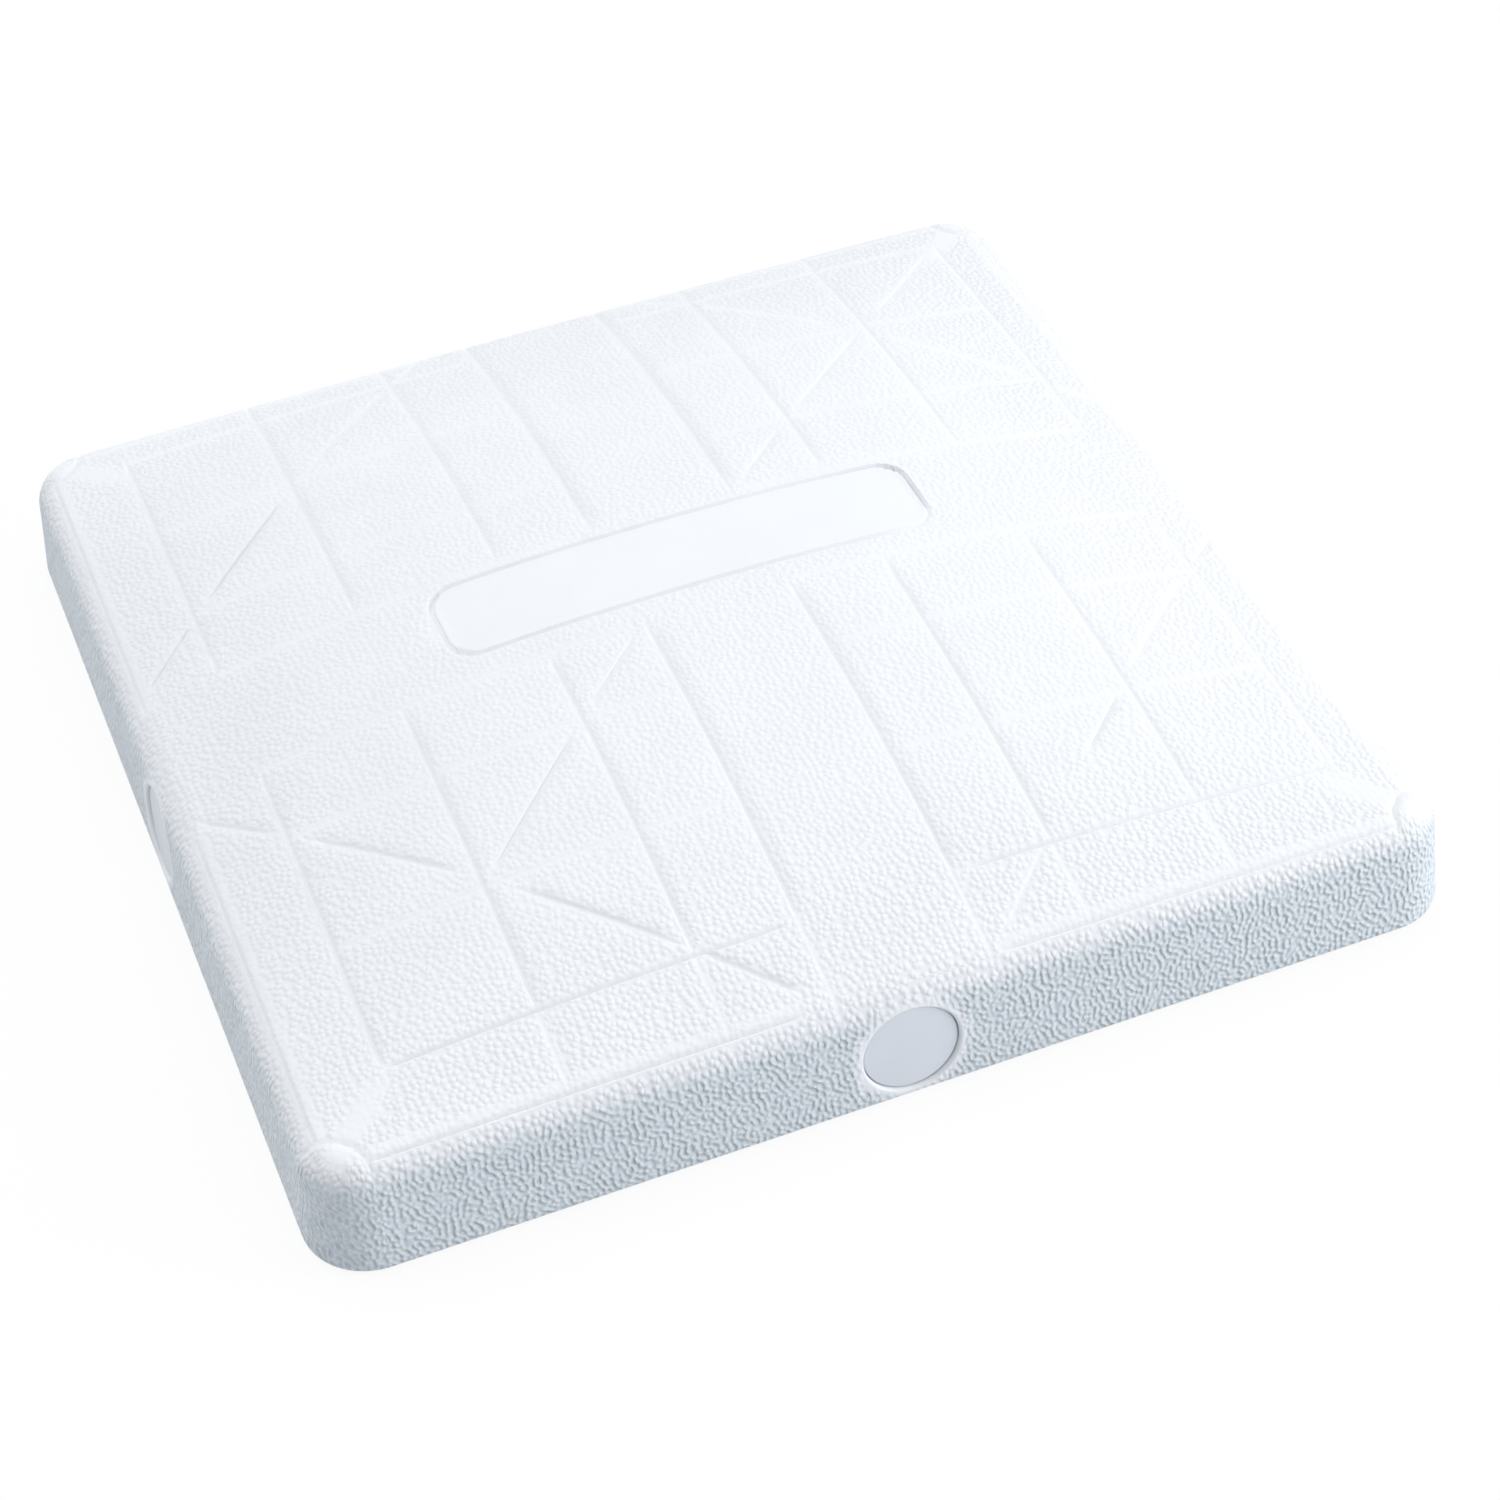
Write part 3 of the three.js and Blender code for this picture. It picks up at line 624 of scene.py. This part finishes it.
class BASE_OT_cover(bpy.types.Operator):
    """Model the moulded rubber cover with its grooves, plate and holes"""

    bl_idname = "base.cover"
    bl_label = "Rubber cover"

    def execute(self, context):
        scene = context.scene
        sizes, grooves, plugs = scene.base_cover, scene.base_grooves, scene.base_plugs
        places_x, places_y = (cover_places(axis, sizes, grooves) for axis in (0, 1))
        cover = grid_piece("moulded_cover", places_x, places_y, top_half(sizes))
        cut_lines(cover, slanting_cuts(grooves), grooves.centre[0])
        shape_cover(cover, sizes, grooves)

        for index in range(len(SIDES)):
            subtract(cover, plug_space(index, plugs, sizes))
        subtract(cover, inner_space(sizes))
        subtract(cover, square_block("lip_opening", sizes.lip_inner, LIP_CORNER, sizes.lip_top + OVERSHOOT))
        subtract(cover, square_block("plate_recess", sizes.recess_side, RECESS_CORNER, sizes.lip_bottom))
        bottom, top = SCREW_HOLE_LEVELS
        for node in screw_nodes():
            low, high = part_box(node)
            x, y = (low[0] + high[0]) / 2, (low[1] + high[1]) / 2
            profile = [(0, bottom), (SCREW_HOLE_RADIUS, bottom), (SCREW_HOLE_RADIUS, top), (0, top)]
            hole = turned_piece("screw_hole", profile, 24)
            set_place(hole, Matrix.Translation((x, y, 0)))
            subtract(cover, hole)

        mark_grain(cover, grooves, sizes, plugs)
        unroll_surface(cover, sizes)
        smooth_by_angle(cover, 38)
        finish_piece(cover, rubber_finish(scene.base_finishes), "base", "white_rubber", "rubber_cover")
        return {"FINISHED"}


def plug_space(index, plugs, cover):
    """The hole that a plug sits in, with a rounded edge at the side's surface."""
    disc = plugs.diameter / 2 + plugs.clearance
    shank = plugs.shank_diameter / 2 + plugs.clearance
    reach = plugs.disc + plugs.shank_length + plugs.clearance
    seat = plugs.disc + plugs.clearance
    profile = [(0, -reach), (shank, -reach), (shank, -seat), (disc, -seat)]
    for sine, cosine in quarter_turn():
        profile.append((disc + plugs.lip * (1 - cosine), plugs.recess - plugs.lip * (1 - sine)))
    mouth = plugs.recess + cover.edge_round
    profile += [(disc + plugs.lip, mouth), (0, mouth)]
    space = turned_piece("plug_space", profile, 72)
    set_place(space, plug_place(index, plugs, cover))
    return space


def inner_space(sizes):
    """The hollow of the cover, which the core fills."""
    half = top_half(sizes) - sizes.side_wall
    radius, bevel, step = sizes.corner_radius, 4 * MM, 1 * MM
    places = np.linspace(-half, half, 33)
    space = grid_piece("inner_space", places, places, half)
    extrude_sheet(space, half, radius, [sizes.lip_top + step, sizes.lip_top])
    points = points_of(space)
    over = np.clip(bevel - outline_depth(points, half, radius)[0], 0, bevel)
    level = sizes.edge_height - sizes.top_skin + crown_height(points, sizes) - over
    top = points[:, 2] > sizes.lip_top + 0.5 * step
    points[top, 2] = level[top]
    place_points(space, points)
    return space


def mark_grain(cover, grooves, sizes, plugs):
    """Writes where the pebble grain and the painted shade in its valleys show: they fade beside grooves, on
    the plate and round the plugs.
    """
    points = points_of(cover)
    _, nearest, edge = groove_field(points, grooves, sizes)
    half = top_half(sizes)
    spot = np.abs(points[:, :2])
    outer = spot.max(axis=1)
    grain = GROOVE_GRAIN + (1 - GROOVE_GRAIN) * smooth_step(0.4 * MM, 2.2 * MM, nearest)
    strength = TOP_GRAIN + EDGE_GRAIN * smooth_step(0.105, 0.165, outer)
    grain *= smooth_step(-0.5 * MM, 1.5 * MM, edge) * strength
    mitre = np.abs(spot[:, 0] - spot[:, 1]) * SLANT
    in_corner = smooth_step(0.150, 0.160, spot.min(axis=1))
    in_corner *= smooth_step(half - 4 * MM, half - 10 * MM, outer)
    grain *= 1 - CORNER_LOSS * in_corner * (1 - smooth_step(2 * MM, 6 * MM, mitre))
    side = smooth_step(sizes.edge_height, sizes.edge_height - 0.75 * sizes.edge_round, points[:, 2])
    on_side = np.ones(len(points))
    rim = plugs.diameter / 2
    for axis in (0, 1):
        away = np.hypot(points[:, axis], points[:, 2] - plugs.height)
        face = spot[:, 1 - axis] > half - 12 * MM
        ring = smooth_step(rim + 0.5 * MM, rim + 4 * MM, away)
        on_side = np.where(face, on_side * ring, on_side)
    grain = grain + (on_side - grain) * side
    for name, values in (("grain", np.clip(grain, 0, 1)), ("run", SIDE_RUN * side)):
        layer = cover.data.attributes.new(name, "FLOAT", "POINT")
        layer.data.foreach_set("value", values)


def outline_place(points, core, radius):
    """Place of points round a round-cornered square, from the middle of its front side."""
    near = np.clip(points[:, :2], -core, core)
    way = points[:, :2] - near
    turn = np.mod(np.arctan2(way[:, 1], way[:, 0]) + math.pi / 2, 2 * math.pi)
    quarter = np.minimum(np.floor(turn / (math.pi / 2) + TINY).astype(int), 3)
    x, y = near[:, 0], near[:, 1]
    straight = np.choose(quarter, (x, 2 * core + y, 4 * core - x, 6 * core - y))
    return straight + radius * turn


def unroll_surface(cover, sizes):
    """Writes a map of the surface in metres: the top as it lies, the sides unrolled."""
    mesh = cover.data
    radius = sizes.corner_radius
    core = sizes.side / 2 - radius
    half, top_radius = top_half(sizes), radius - sizes.side_draft
    shoulder = shoulder_height(sizes)
    counts = read_all(mesh.polygons, "loop_total", kind=np.int64)
    facing = read_all(mesh.polygons, "normal", 3)
    middle = read_all(mesh.polygons, "center", 3)
    owner = np.repeat(np.arange(len(counts)), counts)
    points = points_of(cover)[read_all(mesh.loops, "vertex_index", kind=np.int64)]
    on_top = outline_depth(middle, half, top_radius)[0] > 0.6 * sizes.edge_round
    level = np.where(middle[:, 2] > shoulder, on_top, np.abs(facing[:, 2]) > 0.7)[owner]
    around = outline_place(points, core, radius)
    whole = 8 * core + 2 * math.pi * radius
    around -= whole * np.rint((around - outline_place(middle, core, radius)[owner]) / whole)
    inset = outline_depth(points, half, top_radius)[0]
    arc = sizes.edge_round * np.arccos(1 - np.clip(inset / sizes.edge_round, 0, 1))
    height = np.where(points[:, 2] > shoulder, shoulder + arc, points[:, 2])
    flat = np.where(level[:, None], points[:, :2], np.stack((around, height), axis=1))
    layer = mesh.uv_layers.new(name=SURFACE_MAP)
    layer.data.foreach_set("uv", flat.ravel())


class BASE_OT_plugs(bpy.types.Operator):
    """Turn one plug and copy it into the four sides"""

    bl_idname = "base.plugs"
    bl_label = "Side plugs"

    def execute(self, context):
        scene = context.scene
        plugs = scene.base_plugs
        disc, shank = plugs.diameter / 2, plugs.shank_diameter / 2
        tip, groove = -plugs.disc - plugs.shank_length, shank - 0.8 * MM
        edge, chamfer = 0.7 * MM, 0.3 * MM
        profile = [(0, tip), (shank - 1.5 * MM, tip), (shank - 0.4 * MM, tip + 0.8 * MM)]
        profile.append((shank, tip + 1.8 * MM))
        for rib in range(4):
            foot = tip + (3 + 2.6 * rib) * MM
            profile += [(shank, foot), (groove, foot + 0.5 * MM)]
            profile += [(groove, foot + 1.2 * MM), (shank, foot + 1.9 * MM)]
        profile += [(shank, -plugs.disc), (disc - chamfer, -plugs.disc), (disc, -plugs.disc + chamfer)]
        for sine, cosine in quarter_turn():
            profile.append((disc - edge * (1 - cosine), -edge * (1 - sine)))
        profile += [(disc * 0.75, 0.0), (disc * 0.35, 0.0), (0, 0.0)]
        first = turned_piece("plug_pattern", profile, 96)
        material = plug_finish(scene.base_finishes)
        for index, side in enumerate(SIDES):
            plug = copy_piece(first, f"{side}_plug", plug_place(index, plugs, scene.base_cover))
            finish_piece(plug, material, f"plug_{side}", "plug_rubber", f"side_plug_{side}")
        bpy.data.objects.remove(first, do_unlink=True)
        return {"FINISHED"}


def screw_nodes():
    return [f"plate_screw_{side}_{end}" for side in SIDES for end in "ab"]


class BASE_OT_screws(bpy.types.Operator):
    """Turn one slotted countersunk screw and copy it to the eight places"""

    bl_idname = "base.screws"
    bl_label = "Plate screws"

    def execute(self, context):
        low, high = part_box("plate_screw_front_a")
        length = high[2] - low[2]
        head, shank, pitch = 6 * MM, 3 * MM, 1 * MM
        slot_size, lift = (1.6 * MM, 16 * MM, 2.4 * MM), 0.06 * MM
        profile = [(0, -0.05 * MM), (head * 0.6, 0.0), (head - 0.4 * MM, 0.15 * MM), (head, 0.5 * MM)]
        profile.append((shank, 3.1 * MM))
        for turn in range(int((length - 5.2 * MM) / pitch)):
            foot = 4 * MM + turn * pitch
            profile += [(shank, foot), (shank - 0.45 * MM, foot + 0.5 * pitch)]
        profile += [(shank, length - 1 * MM), (shank - 0.8 * MM, length), (0, length)]
        first = turned_piece("screw_pattern", profile, 40)
        subtract(first, cuboid(slot_size))
        material = zinc_finish(context.scene.base_finishes)
        for count, node in enumerate(screw_nodes()):
            low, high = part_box(node)
            spot = Vector(((low[0] + high[0]) / 2, (low[1] + high[1]) / 2, low[2] + lift))
            driven = Matrix.Rotation(math.radians(37 * count + 12), 4, "Z")
            name = node.replace("plate_screw", "countersunk_screw")
            screw = copy_piece(first, name, Matrix.Translation(spot) @ driven)
            finish_piece(screw, material, "base", "zinc_steel", node)
        bpy.data.objects.remove(first, do_unlink=True)
        return {"FINISHED"}


class BASE_OT_core(bpy.types.Operator):
    """Make the foam core with softened edges"""

    bl_idname = "base.core"
    bl_label = "Foam core"

    def execute(self, context):
        core = bpy.data.objects.new("foam_filling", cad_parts["foam_core"].data.copy())
        context.collection.objects.link(core)
        start_edit(core)
        bpy.ops.mesh.remove_doubles(threshold=WELD)
        bpy.ops.mesh.dissolve_limited(angle_limit=math.radians(0.5))
        bpy.ops.object.mode_set(mode="OBJECT")
        soften = core.modifiers.new("soften", "BEVEL")
        soften.width = 0.8 * MM
        soften.segments = 2
        soften.limit_method = "ANGLE"
        soften.angle_limit = math.radians(50)
        bpy.ops.object.modifier_apply(modifier=soften.name)
        smooth_by_angle(core, 35)
        finish_piece(core, foam_finish(context.scene.base_finishes), "base", "core_foam", "foam_core")
        return {"FINISHED"}


class BASE_OT_steel(bpy.types.Operator):
    """Give the frame, plates and nuts their finishes"""

    bl_idname = "base.steel"
    bl_label = "Steel parts"

    def execute(self, context):
        finishes = context.scene.base_finishes
        zinc, enamel = zinc_finish(finishes), enamel_finish(finishes)
        for name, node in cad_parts.items():
            if name.startswith(("frame_rail", "cross_rail", "stem_plate")):
                dress(node, enamel)
            elif name.startswith(("bottom_plate", "stem_nut")):
                dress(node, zinc)
        return {"FINISHED"}


def dress(node, material):
    if not node.material_slots:
        node.data.materials.append(material)
    for slot in node.material_slots:
        slot.material = material


def add_node(tree, kind, inputs=None, **settings):
    """Adds a node with its settings. Inputs, by name or number, are values or other nodes' outputs."""
    node = tree.nodes.new(f"ShaderNode{kind}")
    for name, value in settings.items():
        setattr(node, name, value)
    for name, value in (inputs or {}).items():
        if isinstance(value, bpy.types.NodeSocket):
            tree.links.new(value, node.inputs[name])
        else:
            node.inputs[name].default_value = value
    return node


def maths(tree, operation, *values):
    return add_node(tree, "Math", dict(enumerate(values)), operation=operation).outputs[0]


def map_value(tree, value, low, high, from_low=0.0, from_high=1.0, curve="LINEAR"):
    inputs = {"Value": value, "From Min": from_low, "From Max": from_high, "To Min": low, "To Max": high}
    return add_node(tree, "MapRange", inputs, interpolation_type=curve).outputs["Result"]


def mix_colour(tree, amount, first, second):
    """A colour between two others. The amount is an output; the colours are values or outputs."""
    inputs = {"Factor": amount}
    for socket, colour in ((6, first), (7, second)):
        inputs[socket] = colour if isinstance(colour, bpy.types.NodeSocket) else (*colour, 1)
    return add_node(tree, "Mix", inputs, data_type="RGBA").outputs[2]


def mix_shader(tree, amount, first, second):
    return add_node(tree, "MixShader", {"Fac": amount, 1: first.outputs[0], 2: second.outputs[0]})


def new_group(name, inputs, outputs):
    """A node group with its sockets, what it is given and where its results go."""
    group = bpy.data.node_groups.new(name, "ShaderNodeTree")
    for socket, kind in inputs.items():
        group.interface.new_socket(socket, in_out="INPUT", socket_type=f"NodeSocket{kind}")
    for socket in outputs:
        group.interface.new_socket(socket, in_out="OUTPUT", socket_type="NodeSocketFloat")
    return group, group.nodes.new("NodeGroupInput").outputs, group.nodes.new("NodeGroupOutput").inputs


def grain_group():
    """Pebble grain: bumps at one spacing, round or run into short ridges, over a fine roughness, with painted
    shade for its valleys.
    """
    inputs = {"Vector": "Vector", "Map": "Vector", "Pitch": "Float", "Run": "Float", "Mask": "Float"}
    group, given, results = new_group("Pebble grain", inputs, ("Height", "Valley"))
    inputs = {
        "Vector": given["Map"],
        "Scale": maths(group, "DIVIDE", 1 / WAVES_PER_CELL, given["Pitch"]),
        "Frequency": WAVES_PER_CELL,
        "Anisotropy": 0.5,
        "Orientation": math.radians(26),
    }
    waves = add_node(group, "TexGabor", inputs, gabor_type="2D").outputs["Value"]
    ridge = map_value(group, waves, 0, 1, 0.2, 0.8, "SMOOTHSTEP")
    inputs = {
        "Vector": given["Map"],
        "Scale": maths(group, "DIVIDE", 1.0, given["Pitch"]),
        "Randomness": 0.8,
    }
    cells = add_node(group, "TexVoronoi", inputs, voronoi_dimensions="2D", feature="F1").outputs["Distance"]
    dome = map_value(group, cells, 0, 1, 0.7, 0.0, "SMOOTHSTEP")
    grain = add_node(group, "Mix", {"Factor": given["Run"], 2: dome, 3: ridge}, data_type="FLOAT").outputs[0]
    fine = add_node(group, "TexNoise", {"Vector": given["Vector"], "Scale": 1500, "Detail": 2}).outputs["Fac"]
    centred = maths(group, "SUBTRACT", grain, 0.45)
    masked = maths(group, "MULTIPLY", centred, given["Mask"])
    group.links.new(maths(group, "MULTIPLY_ADD", fine, 0.06, masked), results["Height"])
    # Painted shade in the valleys: most where the grain is low, and much stronger where the mask is strong
    low = maths(group, "SUBTRACT", 1.0, grain)
    strong = maths(group, "POWER", given["Mask"], 2.5)
    group.links.new(maths(group, "MULTIPLY", low, strong), results["Valley"])
    return group


def marks_group():
    """Handling marks: a broad faint mottle and fine scratches."""
    if MARKS_NAME in bpy.data.node_groups:
        return bpy.data.node_groups[MARKS_NAME]
    group, given, results = new_group(MARKS_NAME, {"Vector": "Vector"}, ("Mottle", "Scratch"))
    cloud = add_node(group, "TexNoise", {"Vector": given["Vector"], "Scale": 38, "Detail": 5})
    group.links.new(cloud.outputs["Fac"], results["Mottle"])
    inputs = {"Vector": given["Vector"], "Scale": (60, 900, 60), "Rotation": (0.3, 0.2, 0.7)}
    stretched = add_node(group, "Mapping", inputs).outputs["Vector"]
    streak = add_node(group, "TexNoise", {"Vector": stretched, "Scale": 1, "Detail": 3}).outputs["Fac"]
    group.links.new(map_value(group, streak, 0, 1, 0.62, 0.72), results["Scratch"])
    return group


def new_material(name):
    """A material, its node tree, the object's coordinates and the handling marks at them."""
    material = bpy.data.materials.new(name)
    material.use_nodes = True
    tree = material.node_tree
    place = add_node(tree, "TexCoord").outputs["Object"]
    marks = add_node(tree, "Group", node_tree=marks_group())
    tree.links.new(place, marks.inputs["Vector"])
    return material, tree, place, marks.outputs


def set_surface(tree, marks, colour, roughness, height, distance, strength=1.0):
    """Leads a colour, a roughness that varies with the mottle and a bump into the shader."""
    bump = add_node(tree, "Bump", {"Height": height, "Distance": distance, "Strength": strength})
    shader = tree.nodes["Principled BSDF"]
    tree.links.new(colour, shader.inputs["Base Color"])
    tree.links.new(map_value(tree, marks["Mottle"], *roughness), shader.inputs["Roughness"])
    tree.links.new(bump.outputs["Normal"], shader.inputs["Normal"])
    return shader


def shade(colour, factor):
    return tuple(channel * factor for channel in colour)


def rubber_finish(finishes):
    material, tree, place, marks = new_material("White grained rubber")
    inputs = {
        "Vector": place,
        "Map": add_node(tree, "UVMap", uv_map=SURFACE_MAP).outputs["UV"],
        "Pitch": finishes.grain_pitch,
        "Run": add_node(tree, "Attribute", attribute_name="run").outputs["Fac"],
        "Mask": add_node(tree, "Attribute", attribute_name="grain").outputs["Fac"],
    }
    grain = add_node(tree, "Group", inputs, node_tree=grain_group()).outputs
    soft = map_value(tree, marks["Mottle"], 0.0, 1.0, 0.35, 0.75)
    white = mix_colour(tree, soft, finishes.rubber, shade(finishes.rubber, 0.975))
    # The rubber turns towards the painted valley shade where the grain is low
    colour = mix_colour(tree, map_value(tree, grain["Valley"], 0.0, 0.75), white, PAINTED_VALLEY_SHADE)
    shader = set_surface(tree, marks, colour, (0.42, 0.58), grain["Height"], 1.0 * MM)
    shader.inputs["Specular IOR Level"].default_value = 0.35
    return material


def plug_finish(finishes):
    material, tree, _, marks = new_material("Smooth plug rubber")
    soft = map_value(tree, marks["Mottle"], 0.0, 1.0, 0.3, 0.75)
    colour = mix_colour(tree, soft, finishes.plug, shade(finishes.plug, 0.95))
    set_surface(tree, marks, colour, (0.34, 0.50), marks["Scratch"], 0.02 * MM, 0.5)
    return material


def foam_finish(finishes):
    material, tree, place, marks = new_material("Closed-cell foam")
    cells = add_node(tree, "TexVoronoi", {"Vector": place, "Scale": 900}).outputs["Distance"]
    dark = map_value(tree, cells, 0.0, 1.0, 0.1, 0.8)
    colour = mix_colour(tree, dark, finishes.foam, shade(finishes.foam, 0.6))
    set_surface(tree, marks, colour, (0.85, 1.0), cells, 0.25 * MM)
    return material


def zinc_finish(finishes):
    if ZINC_NAME in bpy.data.materials:
        return bpy.data.materials[ZINC_NAME]
    material, tree, place, marks = new_material(ZINC_NAME)
    spangle = add_node(tree, "TexVoronoi", {"Vector": place, "Scale": 160}).outputs["Color"]
    plain = mix_colour(tree, map_value(tree, spangle, 0.0, 1.0), finishes.zinc, shade(finishes.zinc, 0.86))
    worn = map_value(tree, marks["Mottle"], 0.0, 0.5, 0.5, 0.8)
    colour = mix_colour(tree, worn, plain, WORN_ZINC)
    shader = set_surface(tree, marks, colour, (0.30, 0.55), marks["Scratch"], 0.02 * MM, 0.4)
    shader.inputs["Metallic"].default_value = 0.9
    return material


def enamel_finish(finishes):
    material, tree, place, marks = new_material("Black enamel")
    peel = add_node(tree, "TexNoise", {"Vector": place, "Scale": 700}).outputs["Fac"]
    rubbed = map_value(tree, marks["Scratch"], 0.0, 0.5)
    colour = mix_colour(tree, rubbed, finishes.enamel, RUBBED_ENAMEL)
    set_surface(tree, marks, colour, (0.34, 0.55), peel, 0.05 * MM, 0.5)
    return material


def seen_directly(tree):
    """1 for rays from the camera and for those that left a glossy or a clear surface."""
    path = add_node(tree, "LightPath").outputs
    seen = maths(tree, "MAXIMUM", path["Is Camera Ray"], path["Is Glossy Ray"])
    return maths(tree, "MAXIMUM", seen, path["Is Transmission Ray"])


class BASE_OT_stage(bpy.types.Operator):
    """Set up the floor, the light and the camera"""

    bl_idname = "base.stage"
    bl_label = "Stage"

    def execute(self, context):
        stage = context.scene.base_stage
        bpy.ops.mesh.primitive_plane_add(size=FLOOR_SIZE)
        floor = context.object
        floor.name = "floor"
        floor.data.materials.append(floor_finish())
        set_world(context.scene, stage)
        for side, place, width in LAMPS:
            add_lamp(f"{side}_lamp", place, width, getattr(stage, f"{side}_power"))
        add_camera(context.scene, stage)
        context.scene.view_settings.view_transform = "Standard"
        return {"FINISHED"}


def floor_finish():
    """Pale for the light it throws back; for the camera white, with a faint shadow."""
    material = bpy.data.materials.new("White floor")
    material.use_nodes = True
    tree = material.node_tree
    tree.nodes.clear()
    pale = add_node(tree, "BsdfDiffuse", {"Color": FLOOR_COLOUR})
    white = add_node(tree, "Emission", {"Strength": 1.0})
    lit = add_node(tree, "BsdfDiffuse", {"Color": WHITE})
    shadow = mix_shader(tree, FLOOR_SHADOW, white, lit)
    floor = mix_shader(tree, seen_directly(tree), pale, shadow)
    add_node(tree, "OutputMaterial", {"Surface": floor.outputs[0]})
    return material


def set_world(scene, stage):
    """Light from all round, weaker from one way, in front of a white background."""
    world = bpy.data.worlds.new("Studio")
    scene.world = world
    world.use_nodes = True
    tree = world.node_tree
    tree.nodes.clear()
    ray = add_node(tree, "TexCoord").outputs["Generated"]
    towards = add_node(tree, "VectorMath", {0: ray, 1: DIM_WAY}, operation="DOT_PRODUCT").outputs["Value"]
    strength = map_value(tree, towards, stage.fill, DIM_SHARE * stage.fill, *DIM_RANGE, "SMOOTHSTEP")
    fill = add_node(tree, "Background", {"Color": FILL_COLOUR, "Strength": strength})
    white = add_node(tree, "Background", {"Color": WHITE, "Strength": 1.0})
    studio = mix_shader(tree, seen_directly(tree), fill, white)
    add_node(tree, "OutputWorld", {"Surface": studio.outputs[0]})


def add_lamp(name, place, width, power):
    lamp = bpy.data.lights.new(name, "AREA")
    lamp.shape = "RECTANGLE"
    lamp.size = lamp.size_y = width
    lamp.energy = power
    obj = bpy.data.objects.new(name, lamp)
    bpy.context.collection.objects.link(obj)
    obj.location = place
    obj.rotation_euler = Vector(place).to_track_quat("Z", "Y").to_euler()


def add_camera(scene, stage):
    az, el, roll = stage.azimuth, stage.elevation, stage.roll
    back = Vector((math.sin(az) * math.cos(el), -math.cos(az) * math.cos(el), math.sin(el)))
    right = (-back).cross(Vector((0, 0, 1))).normalized()
    down = (-back).cross(right)
    turned_right = math.cos(roll) * right - math.sin(roll) * down
    turned_down = math.sin(roll) * right + math.cos(roll) * down
    lens = bpy.data.cameras.new("camera")
    lens.sensor_width = SENSOR_WIDTH
    lens.lens = stage.focal
    lens.clip_start = CLIP_START
    camera = bpy.data.objects.new("camera", lens)
    scene.collection.objects.link(camera)
    turn = Matrix((turned_right, -turned_down, back)).transposed().to_4x4()
    camera.matrix_world = Matrix.Translation(Vector(stage.aim) + back * stage.distance) @ turn
    scene.camera = camera


class BASE_PT_panel(bpy.types.Panel):
    """Steps that build the base"""

    bl_label = "Baseball base"
    bl_idname = "BASE_PT_panel"
    bl_space_type = "VIEW_3D"
    bl_region_type = "UI"
    bl_category = "Base"

    def draw(self, context):
        for operator in OPERATORS:
            self.layout.operator(operator.bl_idname)
        for group in GROUPS:
            settings = getattr(context.scene, group)
            box = self.layout.box()
            for name in settings.__annotations__:
                box.prop(settings, name)


GROUPS = {
    "base_cover": CoverSizes,
    "base_grooves": GrooveSizes,
    "base_plugs": PlugSizes,
    "base_finishes": Finishes,
    "base_stage": StageSizes,
}
OPERATORS = (BASE_OT_cover, BASE_OT_plugs, BASE_OT_screws, BASE_OT_core, BASE_OT_steel, BASE_OT_stage)


def register():
    for name, group in GROUPS.items():
        bpy.utils.register_class(group)
        setattr(bpy.types.Scene, name, PointerProperty(type=group))
    for operator in OPERATORS:
        bpy.utils.register_class(operator)
    bpy.utils.register_class(BASE_PT_panel)


def unregister():
    bpy.utils.unregister_class(BASE_PT_panel)
    for operator in reversed(OPERATORS):
        bpy.utils.unregister_class(operator)
    for name, group in GROUPS.items():
        delattr(bpy.types.Scene, name)
        bpy.utils.unregister_class(group)


def main():
    register()
    bpy.ops.base.cover()
    bpy.ops.base.plugs()
    bpy.ops.base.screws()
    bpy.ops.base.core()
    bpy.ops.base.steel()
    bpy.ops.base.stage()


if __name__ == "__main__":
    main()
